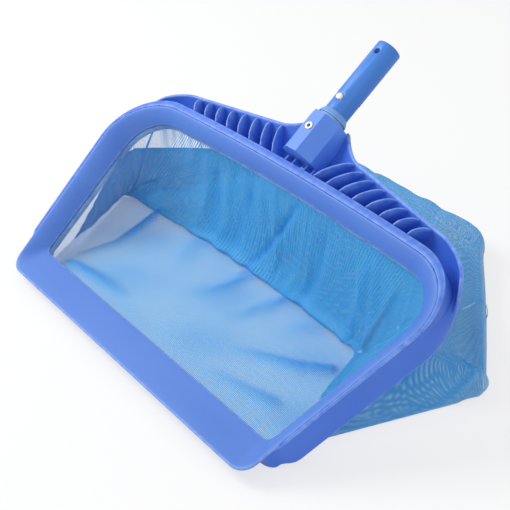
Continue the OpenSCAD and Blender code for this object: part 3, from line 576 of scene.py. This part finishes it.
finished_copy("hub_housing", "hub_housing_moulding", 0.7, lit_hub_blue, segments=3)
finished_copy("handle_tube", "pole_spigot_moulding", 0.35, pipe_blue)
finished_copy("spigot_collar", "spigot_collar_moulding", 0.3, collar_grey)
finished_copy("hub_rivet", "hub_rivet_rolled", 0.25, rivet_metal)
finished_copy("clip_bow", "clip_bow_strip", 0.15, clip_white)
for place in ("upper", "lower"):
    body = f"{place}_snap"
    finished_copy(f"clip_arm_{place}", f"clip_arm_{place}_strip", 0.15, clip_white, body)
    finished_copy(f"button_{place}", f"snap_button_{place}", 0.25, clip_white, body)

# --- Net bag -------------------------------------------------------------------------------
# A loose sewn bag of fine knitted polyester mesh. Its wall hangs from the hem inside the ledge
# down to a waist on the ground, and from there the rest of the bag lies flat and slightly
# puffed, out past the sides and back of the frame. The cloth sags and creases by simulation.
ground_z, waist_z, puff, net_turn, net_top, waist_back = 1.0, 3.5, 33.0, -9.6, -5.0, -18
floor_front = -foot_y * rest_cos + shell_depth * rest_sin + 12
fall_rows, spread_rows, edge_rows, floor_count = 23, 26, 7, 34
hang_gap, edge_tuck, rim_tuck, layer_swell, edge_swell = 1.5, 0.6, 4, 9, 5
left_rise, left_from, left_run = 26, 90, 130
waist_row, rim_row = 1 + fall_rows, 1 + fall_rows + spread_rows


def bag_half(front_x, wide, end_x, corners):
    """Half the bag's outline on the ground: the front, the side to its widest point, the closed end."""
    front, wide, end = np.array([front_x, floor_front]), np.array(wide, float), np.array([end_x, bag_reach])
    half_turn = (n_backc - 2) // 2
    arc_f = round_corner(front, np.array([0, floor_front]), wide, corners[0], n_lipc)
    arc_w = round_corner(wide, front, end, corners[1], half_turn)
    arc_e = round_corner(end, wide, np.array([0, bag_reach]), corners[2], half_turn)
    half = [np.array([arc_f[0][0] * i / n_front, floor_front]) for i in range(n_front)] + arc_f
    half += [mix(arc_f[-1], arc_w[0], i / n_side) for i in range(1, n_side)]
    half += arc_w + [mix(arc_w[-1], arc_e[0], 0.5)] + arc_e
    half += [np.array([arc_e[-1][0] * (1 - i / n_back), bag_reach]) for i in range(1, n_back)]
    return half + [np.array([0.0, bag_reach])]


def waist_half(front_x, splay, back_corner):
    return list(mouth_outline(floor_front, waist_back, front_x, splay, 24, back_corner)[:n_half])


def evened(loop):
    """The same line with its back run's points spaced evenly, so that the columns run straight down."""
    out = loop.copy()
    for sign, ids in ((1, list(range(i_back, n_half))), (-1, [n_loop - i for i in range(i_back, n_half)])):
        run = loop[ids]
        x = np.abs(run[:, 0])
        even = np.linspace(x[0], 0, len(ids))
        out[ids, 0] = even * sign
        out[ids, 1] = np.interp(even, x[::-1], run[::-1, 1])
    return out


right_edge = bag_half(188, (260, 30), 99, (24, 14, 60))
left_edge = bag_half(188, (276, -12), 112, (24, 18, 58))
outline = both_sides(right_edge, left_edge) + [0, shift_y]
outline_out = outward(outline)
waist = evened(both_sides(waist_half(186, -17.5, 9), waist_half(188, 28.5, 7)) + [0, shift_y])
hang = evened(inner_loop)
hang = hang + outward(hang) * hang_gap
flare = np.array([0 if h <= i_side else ease((h - i_side) / n_side) for h in half_index])
folded = np.array([0 if h <= i_side else ease(2.0 * (h - i_side) / n_side) for h in half_index])[:, None]
turn = np.arange(n_loop) / n_loop * 2 * math.pi
rim_z = puff + 1.0 * np.sin(turn * 7 + 0.6) + 0.8 * np.sin(turn * 11 + 2.0)
left_lift = np.array([left_rise * ease((-p[0] - left_from) / left_run) for p in outline])

under_ledge, top_edge = laid(with_z(hang, net_turn)), laid(with_z(hang, net_top))
low_edge = outline - outline_out * edge_tuck
on_ground = with_z(low_edge, ground_z)
at_waist = mix(mix(under_ledge, on_ground, 0.5), with_z(waist, waist_z), folded)
rim = with_z(outline - outline_out * rim_tuck, rim_z + left_lift)
at_rim = mix(mix(under_ledge, on_ground, 0.8), rim, flare[:, None])
wall_rows = [top_edge] + [mix(under_ledge, at_waist, j / fall_rows) for j in range(fall_rows)]
for j in range(spread_rows):
    t = j / spread_rows
    row = mix(at_waist, at_rim, t)
    row[:, 2] += flare * layer_swell * math.sin(math.pi * t)
    wall_rows.append(row)
for j in range(edge_rows):
    t = j / (edge_rows - 1)
    row = mix(at_rim, on_ground, t)
    row[:, :2] += outline_out * (edge_swell * flare * math.sin(math.pi * t))[:, None]
    wall_rows.append(row)
n_wall = len(wall_rows)
lengths = np.zeros((n_wall, n_loop))
for j in range(1, n_wall):
    lengths[j] = lengths[j - 1] + np.linalg.norm(wall_rows[j] - wall_rows[j - 1], axis=1)

wall = skinned("bag_wall", wall_rows, None, closed=False)
held = wall.vertex_groups.new(name="held")
for j in range(n_wall):
    if j <= 1 or j == n_wall - 1:
        grip = 1.0
    elif abs(j - rim_row) <= 1:
        grip = 0.5
    elif abs(j - waist_row) <= 1:
        grip = 0.35
    else:
        continue
    held.add(list(range(j * n_loop, (j + 1) * n_loop)), grip, "REPLACE")

points = np.array(wall_rows)
last_frame, layer_sag, curtain_sag = 26, 8.0, 16.0
bpy.ops.mesh.primitive_plane_add(size=2, location=(0, 0, 0))
table_top = bpy.context.object
table_top.modifiers.new("Collision", "COLLISION")
table_top.collision.thickness_outer = 0.001
table_top.collision.cloth_friction = 20
cloth = wall.modifiers.new("Cloth", "CLOTH")
s = cloth.settings
s.quality, s.mass, s.air_damping = 8, 0.12, 2.0
s.tension_stiffness = s.compression_stiffness = 12
s.shear_stiffness, s.bending_stiffness = 4, 0.02
s.tension_damping = s.compression_damping = s.shear_damping = 8
s.vertex_group_mass, s.pin_stiffness = "held", 1.0
s.shrink_min = -0.035
touch = cloth.collision_settings
touch.distance_min, touch.collision_quality, touch.use_self_collision = 0.001, 3, False
cloth.point_cache.frame_start, cloth.point_cache.frame_end = 1, last_frame
for f in range(1, last_frame + 1):
    bpy.context.scene.frame_set(f)
settled = wall.evaluated_get(bpy.context.evaluated_depsgraph_get())
settled_at = np.empty(points.size)
settled.to_mesh().vertices.foreach_get("co", settled_at)
settled.to_mesh_clear()
bpy.context.scene.frame_set(1)
moved = settled_at.reshape(points.shape) / mm - points
far = np.linalg.norm(moved, axis=2, keepdims=True)
most = np.where(np.arange(n_wall) > waist_row, layer_sag, curtain_sag)[:, None, None]
points = points + moved * np.minimum(1, most / np.maximum(far, 1e-6))
bpy.data.objects.remove(table_top, do_unlink=True)
bpy.data.objects.remove(wall, do_unlink=True)
points[:, :, 2] = np.maximum(points[:, :, 2], ground_z)

centre_line = with_z(np.column_stack([outline[:, 0] * 0.55, np.full(n_loop, shift_y + 20.0)]), ground_z)
floor_grid = np.array([mix(points[-1], centre_line, j / floor_count) for j in range(1, floor_count + 1)])


def crease(xy, path, width):
    """How close each floor point lies to one soft crease, 1 on its line and 0 a little way off."""
    near = np.zeros(xy.shape[:-1])
    path = [np.array(p, float) + [0, shift_y] for p in path]
    for k, (a, b) in enumerate(zip(path, path[1:])):
        d = b - a
        s = np.clip(((xy - a) @ d) / (d @ d), 0, 1)
        off = np.linalg.norm(xy - (a + s[..., None] * d), axis=-1)
        along = (k + s) / (len(path) - 1)
        near = np.maximum(near, np.exp(-(off / width) ** 2) * (1 - 0.75 * along ** 2))
    return near


# The floor's creases: each a line of points, then its width, its height and how far the mesh closes.
floor_creases = [([(-262, -36), (-250, -78), (-232, -120)], 5, 9, 0.8),
                 ([(-202, -20), (-188, -58), (-178, -95), (-187, -141)], 4.5, 10, 0.95),
                 ([(-181, -160), (-141, -150), (-92, -144)], 8, 7, 0.8),
                 ([(-34, -18), (-29, -48), (-42, -84)], 7, 7, 0.6),
                 ([(27, -17), (24, -48), (14, -80)], 6.5, 7, 0.6),
                 ([(142, -57), (117, -78), (86, -93), (60, -108)], 6, 8, 0.7),
                 ([(140, -129), (103, -140), (70, -146)], 7, 6, 0.5),
                 ([(-120, -24), (-96, -70)], 12, 4, 0.3),
                 ([(80, -24), (66, -60)], 12, 4, 0.25)]
floor_xy, ripple = floor_grid[..., :2], 1.1
swerve = np.sin(floor_xy[..., 0] * 0.043 + 0.8 * np.sin(floor_xy[..., 1] * 0.031))
lift_z = ripple * (1 + swerve * np.cos(floor_xy[..., 1] * 0.05)) / 2
floor_bunching = 0.22 * (lift_z / ripple) ** 2
for path, width, height, dense in floor_creases:
    near = crease(floor_xy, path, width)
    lift_z = lift_z + near * height
    floor_bunching = floor_bunching + near * dense
inset = np.minimum(1, np.arange(1, floor_count + 1) / 3)[:, None]
floor_grid[..., 2] += lift_z * inset

# The curtain behind the mouth creases where the cloth is bunched towards the waist. A crease holds
# its x at the hem and at the waist, its width and depth, and how far the mesh closes or opens.
curtain_creases = [(26, -44, 3.2, 5.0, 1.0), (-50, -76, 9, 3.0, 0.25), (70, 46, 8, 3.0, 0.25),
                   (128, 118, 7, -3.0, 0.2), (-120, -108, 10, 4.0, 0.3), (177, 141, 3.0, -2.5, -0.45)]
row_at, column_at = np.arange(n_wall)[:, None], np.arange(n_loop)[None, :]
wall_bunching_and_shade = np.zeros((n_wall, n_loop))
down = row_at / waist_row
hangs = (down <= 1.0) * (column_at > i_corner) * (column_at < n_loop - i_corner)
for x_top, x_low, width, depth, dense in curtain_creases:
    line = x_top + (x_low - x_top) * np.clip(down, 0, 1)
    near = np.exp(-((points[..., 0] - line) / width) ** 2) * hangs * np.minimum(1, down * 3)
    points[..., 1] += near * depth
    wall_bunching_and_shade += near * dense

# On the right the top layer is pulled into a sharp fold from under the frame out to the bag's corner,
# with a hollow behind it, and it puckers where the closed end is sewn.
fold_start, fold_run, fold_y, fold_height, fold_turn = 150, 110, 30, 40, 10
ridge_height, hollow_depth, pucker_height, pucker_count = 7, 23, 3.0, 15
spread = row_at > waist_row
layer = spread & (row_at <= rim_row + 1)
ux, uy = points[..., 0], points[..., 1] - shift_y
slide = np.clip((ux - fold_start) / fold_run, 0, 1)
fold_off = uy - (fold_y - fold_turn * slide)
steepness = np.where(fold_off > 0, 5, 16)
ridge = np.exp(-(fold_off / steepness) ** 2) * slide ** 0.5 * layer * (ux > fold_start)


def soft_patch(x, y, wide, deep):
    """1 at a place on the top layer, falling off softly both ways."""
    return np.exp(-((ux - x) / wide) ** 2 - ((uy - y) / deep) ** 2) * layer


hollow, pucker = soft_patch(224, 52, 27, 19), soft_patch(74, 188, 30, 22)
angle_in = np.arctan2(uy - 214, ux - 96)
points[..., 2] += (ridge * ridge_height * (fold_off > 0) - hollow * hollow_depth
                   + pucker * pucker_height * np.sin(angle_in * pucker_count))
in_front = np.clip(-fold_off, 0, None)
face_run = np.interp(ux, [190, 204, 214, 231, 255, 262], [140, 112, 87, 50, 12, 6])
face_z = np.maximum(ground_z, fold_height * (1 - in_front / face_run))
on_face = (fold_off < 0) * np.clip((ux - 168) / 26, 0, 1) * spread
points[..., 2] = mix(points[..., 2], face_z, on_face)
below = points[rim_row + 1:]
below[..., :2] = mix(below[..., :2], low_edge[None], on_face[rim_row + 1:, :, None])
points[-1, :, 2] = ground_z
# In the hollow the mesh is drawn closer and deeper in blue: painted shade.
wall_bunching_and_shade += 0.9 * hollow + 0.12 * on_face - 0.4 * pucker
end_wall = (row_at > rim_row) & (outline[:, 0] > 90)[None, :]
wall_bunching_and_shade -= 0.22 * end_wall * np.exp(-((ux - 240) / 60) ** 2)

# On the left the curtain is thinner and hangs in small pleats from the hem.
pleat_drift, pleat_width, pleat_end, pleat_depth, pleat_dense = 14, 3.0, 0.4, 2.5, 0.8
for x_top in (-206, -194, -180, -164, -146):
    near = np.exp(-((points[..., 0] - x_top - pleat_drift * down) / pleat_width) ** 2) * hangs
    near = near * np.clip(1 - down / pleat_end, 0, 1)
    points[..., 1] += near * pleat_depth
    wall_bunching_and_shade += near * pleat_dense
wall_bunching_and_shade -= 0.38 * (down <= 1.0) * np.clip((-points[..., 0] - 90) / 80, 0, 1)
wall_bunching_and_shade[waist_row - 1:waist_row + 2] += 0.35 * flare
wall_bunching_and_shade[rim_row] += 0.4 * flare

rows = np.concatenate([points, floor_grid])
bag = skinned("net_bag_cloth", list(rows), None, closed=False)
uv = bag.data.uv_layers.new(name="weave")
along_edge = np.concatenate([[0], np.cumsum(np.linalg.norm(np.diff(outline, axis=0), axis=1))])
wall_uv = np.zeros((n_wall, n_loop + 1, 2))
wall_uv[..., 0] = np.append(along_edge, along_edge[-1] + np.linalg.norm(outline[0] - outline[-1])) * mm
wall_uv[..., 1] = np.column_stack([lengths, lengths[:, 0]]) * mm
for poly in bag.data.polygons:
    places = [divmod(v, n_loop) for v in poly.vertices]
    on_floor = max(r for r, c in places) >= n_wall
    at_seam = max(c for r, c in places) == n_loop - 1
    for loop, (r, c) in zip(poly.loop_indices, places):
        if on_floor:
            uv.data[loop].uv = rows[r, c, :2] * mm
        else:
            uv.data[loop].uv = wall_uv[r, n_loop if c == 0 and at_seam else c]
closeness = np.clip(np.concatenate([wall_bunching_and_shade, floor_bunching * inset]), -0.5, 1).astype(np.float32)
bag.data.attributes.new("bunching_and_shade", "FLOAT", "POINT").data.foreach_set("value", closeness.ravel())
bm = bmesh.new()
bm.from_mesh(bag.data)
innermost = (len(rows) - 1) * n_loop
bmesh.ops.remove_doubles(bm, verts=[v for v in bm.verts if v.index >= innermost], dist=0.0006)
bm.to_mesh(bag.data)
bm.free()


def knitted_mesh(name, thread, deep, fold, pitch, wire, soft=0.10):
    """Fine knitted mesh with holes between its threads, closer and deeper in tone where it is bunched and
    where shade is painted.
    """
    mat, t, shader = new_finish(name, Roughness=0.55, Sheen_Weight=0.15, Specular_IOR_Level=0.35)
    weave = node_of(t, "ShaderNodeUVMap", (-1700, 0), uv_map="weave")
    scale = node_of(t, "ShaderNodeMapping", (-1500, 0), Scale=(1 / pitch, 1 / pitch, 1))
    axes = node_of(t, "ShaderNodeSeparateXYZ", (-1300, 0))
    bunched = node_of(t, "ShaderNodeAttribute", (-1300, -400), attribute_name="bunching_and_shade")
    closed_up = maths(t, "MULTIPLY", (-1100, -400), 0.24)
    mask = maths(t, "MAXIMUM", (-450, 0))
    wired(t, (weave, 0, scale, "Vector"), (scale, 0, axes, 0), (bunched, "Fac", closed_up, 0))
    for k, y in ((0, 150), (1, -150)):
        fract = maths(t, "FRACT", (-1100, y))
        centre = maths(t, "SUBTRACT", (-950, y), 0.5)
        off = maths(t, "ABSOLUTE", (-800, y))
        denser = maths(t, "SUBTRACT", (-730, y - 60))
        band = node_of(t, "ShaderNodeMapRange", (-650, y), interpolation_type="SMOOTHSTEP",
                       From_Min=wire / 2 + soft, From_Max=wire / 2 - soft)
        wired(t, (axes, k, fract, 0), (fract, 0, centre, 0), (centre, 0, off, 0), (off, 0, denser, 0),
              (closed_up, 0, denser, 1), (denser, 0, band, "Value"), (band, 0, mask, k))
    where = node_of(t, "ShaderNodeTexCoord", (-1300, 400)).outputs["Object"]
    uneven = noise(t, where, (-1100, 400), 38.0, 4.0)
    tone = two_tone(t, (-450, 300), deep, thread)
    # The deep fold blue goes where the cloth is bunched, and in the hollow on the right it is painted shade.
    pressed_and_shaded = two_tone(t, (-280, 300), thread, fold)
    bump = node_of(t, "ShaderNodeBump", (-250, -300), Strength=0.5, Distance=pitch * 0.25)
    wired(t, (uneven, "Fac", tone, 0), (tone, 2, pressed_and_shaded, 6), (bunched, "Fac", pressed_and_shaded, 0),
          (pressed_and_shaded, 2, shader, "Base Color"), (mask, 0, bump, "Height"), (bump, 0, shader, "Normal"),
          (mask, 0, shader, "Alpha"))
    return mat


net_blue = knitted_mesh("knitted_net_blue", (62, 172, 230), (42, 154, 220), (34, 132, 214),
                        pitch=0.0015, wire=0.46)
bag.data.materials.append(net_blue)
smooth = bag.modifiers.new("Smooth", "SUBSURF")
smooth.levels = smooth.render_levels = 1
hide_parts("net_front", "net_right", "net_back", "net_left", "net_floor")
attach(bag, "rake")

# --- Net hem -------------------------------------------------------------------------------
# A folded woven band sewn round the mouth of the bag. The two mouldings clamp its upper half,
# and a pale strip of it with its row of overlock stitches shows inside the funnel's edge.
hem_loop = evened(inner_loop)
hem_out = outward(hem_loop)
hem_section = [(0.75, -3.7), (0.55, -4.4), (0.5, -6.5), (0.55, -9.0), (0.7, -10.6), (1.0, -11.2),
               (1.3, -10.6), (1.25, -9.0), (1.2, -6.5), (1.15, -4.4), (1.1, -3.7)]
hem_rows = [laid(with_z(hem_loop + hem_out * out, z)) for out, z in hem_section]
hem = skinned("net_hem_band", hem_rows, [0.5] * len(hem_rows))


def woven_band(name, pale, deep, pitch):
    """Woven polyester tape: fine ribs across the band, faint blue cast, slightly fuzzy sheen."""
    mat, t, shader = new_finish(name, Roughness=0.8, Sheen_Weight=0.3, Specular_IOR_Level=0.2)
    where = node_of(t, "ShaderNodeTexCoord", (-1200, 0)).outputs["Object"]
    ribs = noise(t, where, (-900, 150), 1 / pitch, 1.0)
    patch = noise(t, where, (-900, -100), 55.0, 3.0)
    both = maths(t, "MULTIPLY", (-650, 0))
    cut = node_of(t, "ShaderNodeMapRange", (-480, 0), From_Min=0.16, From_Max=0.36)
    tone = two_tone(t, (-300, 100), deep, pale)
    bump = node_of(t, "ShaderNodeBump", (-250, -250), Strength=0.4, Distance=pitch * 0.3)
    wired(t, (ribs, "Fac", both, 0), (patch, "Fac", both, 1), (both, 0, cut, "Value"), (cut, 0, tone, 0),
          (tone, 2, shader, "Base Color"), (ribs, "Fac", bump, "Height"), (bump, 0, shader, "Normal"))
    return mat


hem_pale = woven_band("woven_hem_pale", (176, 200, 226), (110, 150, 200), 0.0011)
hem.data.materials.append(hem_pale)
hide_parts("net_hem")
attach(hem, "rake")

# --- Seam tapes and their stitches ---------------------------------------------------------
# The bag's corner seams are bound with narrow woven tape that follows the cloth, chain-stitched
# along its middle. One tape runs down each corner from the hem to the ground.
seam_thread = woven_band("seam_thread_pale", (128, 188, 236), (92, 158, 222), 0.0006)
tape_pale = woven_band("woven_tape_blue", (150, 204, 240), (100, 170, 230), 0.0009)


def stitch_tree(name, material):
    """Geometry Nodes: one small rounded stitch at even steps along a path, as real mesh."""
    tree = bpy.data.node_groups.new(name, "GeometryNodeTree")
    face = tree.interface
    face.new_socket("Geometry", in_out="INPUT", socket_type="NodeSocketGeometry")
    for label, value in (("Stitch step", 0.0042), ("Stitch length", 0.0028), ("Thread radius", 0.0004)):
        face.new_socket(label, in_out="INPUT", socket_type="NodeSocketFloat").default_value = value
    face.new_socket("Geometry", in_out="OUTPUT", socket_type="NodeSocketGeometry")
    start = node_of(tree, "NodeGroupInput", (-1000, 0))
    spaced = node_of(tree, "GeometryNodeResampleCurve", (-700, 0), mode="LENGTH")
    thread = node_of(tree, "GeometryNodeMeshCylinder", (-700, -300), Vertices=6, fill_type="TRIANGLE_FAN")
    tangent = node_of(tree, "GeometryNodeInputTangent", (-700, 300))
    align = node_of(tree, "FunctionNodeAlignRotationToVector", (-450, 250), axis="Z")
    on_path = node_of(tree, "GeometryNodeInstanceOnPoints", (-200, 0))
    real = node_of(tree, "GeometryNodeRealizeInstances", (100, 0))
    paint = node_of(tree, "GeometryNodeSetMaterial", (400, 0), Material=material)
    end = node_of(tree, "NodeGroupOutput", (800, 0))
    wired(tree, (start, "Geometry", spaced, "Curve"), (start, "Stitch step", spaced, "Length"),
          (start, "Thread radius", thread, "Radius"), (start, "Stitch length", thread, "Depth"),
          (spaced, 0, on_path, "Points"), (thread, "Mesh", on_path, "Instance"),
          (tangent, 0, align, "Vector"), (align, 0, on_path, "Rotation"), (on_path, 0, real, 0),
          (real, 0, paint, 0), (paint, 0, end, 0))
    return tree


def stitched(name, path, step, length, radius):
    """The stitches along one path of points in millimetres, as a plain mesh."""
    curve = bpy.data.curves.new(name, "CURVE")
    curve.dimensions = "3D"
    spline = curve.splines.new("POLY")
    spline.points.add(len(path) - 1)
    spline.points.foreach_set("co", np.column_stack([np.asarray(path) * mm, np.ones(len(path))]).ravel())
    line = placed(name + "_line", curve)
    sew = line.modifiers.new("Sew", "NODES")
    sew.node_group = stitches
    sizes = {"Stitch step": step, "Stitch length": length, "Thread radius": radius}
    for item in stitches.interface.items_tree:
        if item.item_type == "SOCKET" and item.in_out == "INPUT" and item.name in sizes:
            sew[item.identifier] = sizes[item.name]
    bpy.context.view_layer.update()
    evaluated = line.evaluated_get(bpy.context.evaluated_depsgraph_get())
    stitching = placed(name, bpy.data.meshes.new_from_object(evaluated))
    bpy.data.objects.remove(line, do_unlink=True)
    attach(stitching, "rake")


stitches = stitch_tree("chain_stitches", seam_thread)
hem_path = laid(with_z(hem_loop + hem_out * 0.35, -8.6))
hem_path = np.vstack([hem_path, hem_path[:1]])
stitched("net_hem_stitches", hem_path, step=0.0042, length=0.0027, radius=0.00035)

# The tape's section, across the seam and out of the cloth.
tape_section = [(-1.7, 0.25), (-1.5, 0.7), (-0.8, 0.85), (0, 0.75), (0.8, 0.85), (1.5, 0.7), (1.7, 0.25),
                (0.8, 0.2), (-0.8, 0.2)]
tape_wear, tape_ground, stitch_out, tiny = 0.4, 0.4, 1.0, 1e-9
seam_front, seam_back = n_front + n_lipc // 2, i_corner + n_backc // 2
for name, column in (("front_right", seam_front), ("back_right", seam_back),
                     ("back_left", n_loop - seam_back), ("front_left", n_loop - seam_front)):
    path = points[1:, column].copy()
    for _ in range(3):
        path[1:-1] = (path[:-2] + 2 * path[1:-1] + path[2:]) / 4
    across = points[1:, (column + 1) % n_loop] - points[1:, (column - 1) % n_loop]
    across /= np.linalg.norm(across, axis=1)[:, None] + tiny
    along = np.gradient(path, axis=0)
    along /= np.linalg.norm(along, axis=1)[:, None] + tiny
    face = np.cross(along, across)
    face *= np.sign(face @ [*outline_out[column], 1.0] + tiny)[:, None]
    rows = []
    for p, u, n in zip(path, across, face):
        row = np.array([p + u * a + n * b for a, b in tape_section])
        row[:, 2] = np.maximum(row[:, 2], tape_ground)
        rows.append(row)
    tape = closed_bar(f"seam_tape_{name}_bound", rows, [[tape_wear] * len(tape_section)] * len(rows))
    tape.data.materials.append(tape_pale)
    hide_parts(f"seam_tape_{name}")
    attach(tape, "rake")
    seam_path = (path + face * stitch_out)[:waist_row - 3]
    stitched(f"seam_stitches_{name}", seam_path, step=0.0046, length=0.003, radius=0.0004)

# --- Ground, light and camera --------------------------------------------------------------
# A pale sweep of ground that catches the rake's soft shadow, a broad soft lamp up on the left,
# a weaker one to the right and an even white surround.
bpy.ops.mesh.primitive_plane_add(size=8, location=(0, 0, -0.0004))
ground = bpy.context.object
ground.name = "pale_ground"


def seen_straight(tree, x, y):
    """A node that gives 1 to what the camera sees, also in a shine or through something clear."""
    rays = node_of(tree, "ShaderNodeLightPath", (x, y))
    first = maths(tree, "MAXIMUM", (x + 200, y))
    second = maths(tree, "MAXIMUM", (x + 350, y))
    wired(tree, (rays, "Is Camera Ray", first, 0), (rays, "Is Glossy Ray", first, 1),
          (first, 0, second, 0), (rays, "Is Transmission Ray", second, 1))
    return second


paper = bpy.data.materials.new("pale_paper")
paper.use_nodes = True
t = paper.node_tree
t.nodes.remove(t.nodes["Principled BSDF"])
where = node_of(t, "ShaderNodeTexCoord", (-900, 0)).outputs["Object"]
fibre = noise(t, where, (-700, 0), 60.0, 3.0)
tone = node_of(t, "ShaderNodeMix", (-500, 0), data_type="RGBA")
tone.inputs[6].default_value, tone.inputs[7].default_value = (0.86, 0.87, 0.88, 1), (0.90, 0.90, 0.91, 1)
matte = node_of(t, "ShaderNodeBsdfDiffuse", (-300, 0))
glow = node_of(t, "ShaderNodeEmission", (-300, -200), Color=(1, 1, 1, 1))
seen = seen_straight(t, -700, -400)
much = maths(t, "MULTIPLY", (-200, -350), 0.68)
blend = node_of(t, "ShaderNodeMixShader", (0, 0))
wired(t, (fibre, "Fac", tone, 0), (tone, 2, matte, "Color"), (seen, 0, much, 0), (much, 0, blend, "Fac"),
      (matte, 0, blend, 1), (glow, 0, blend, 2), (blend, 0, t.nodes["Material Output"], "Surface"))
ground.data.materials.append(paper)

world = bpy.data.worlds.new("soft_surround")
bpy.context.scene.world = world
world.use_nodes = True
t = world.node_tree
surround = t.nodes["Background"]
surround.inputs["Color"].default_value = (1, 1, 1, 1)
level = node_of(t, "ShaderNodeMapRange", (-200, 0), To_Min=0.62, To_Max=1.0)
wired(t, (seen_straight(t, -700, 0), 0, level, "Value"), (level, 0, surround, "Strength"))


def soft_lamp(name, place, aim, size, power):
    data = bpy.data.lights.new(name, "AREA")
    data.shape, data.size, data.energy = "DISK", size, power
    lamp = placed(name, data)
    lamp.location = place
    lamp.rotation_mode = "QUATERNION"
    lamp.rotation_quaternion = (Vector(aim) - Vector(place)).to_track_quat("-Z", "Y")


soft_lamp("key_left", (-1.25, -0.75, 1.5), (0, 0, 0.05), size=1.1, power=26)
soft_lamp("fill_right", (1.4, -0.9, 0.9), (0, 0, 0.08), size=1.2, power=4)

camera_data = bpy.data.cameras.new("view_camera")
camera_data.sensor_width, camera_data.lens = 36, 71.27
camera_data.clip_start, camera_data.clip_end = 0.01, 30
camera = placed("view_camera", camera_data)
camera.location = (0.67278, -0.58479, 0.65058)
camera.rotation_mode = "QUATERNION"
camera.rotation_quaternion = Matrix(((0.6337, -0.4361, 0.6389), (0.7735, 0.3613, -0.5207),
                                     (-0.0037, 0.8243, 0.5662))).to_quaternion()
bpy.context.scene.camera = camera
bpy.context.scene.view_settings.view_transform = "Standard"
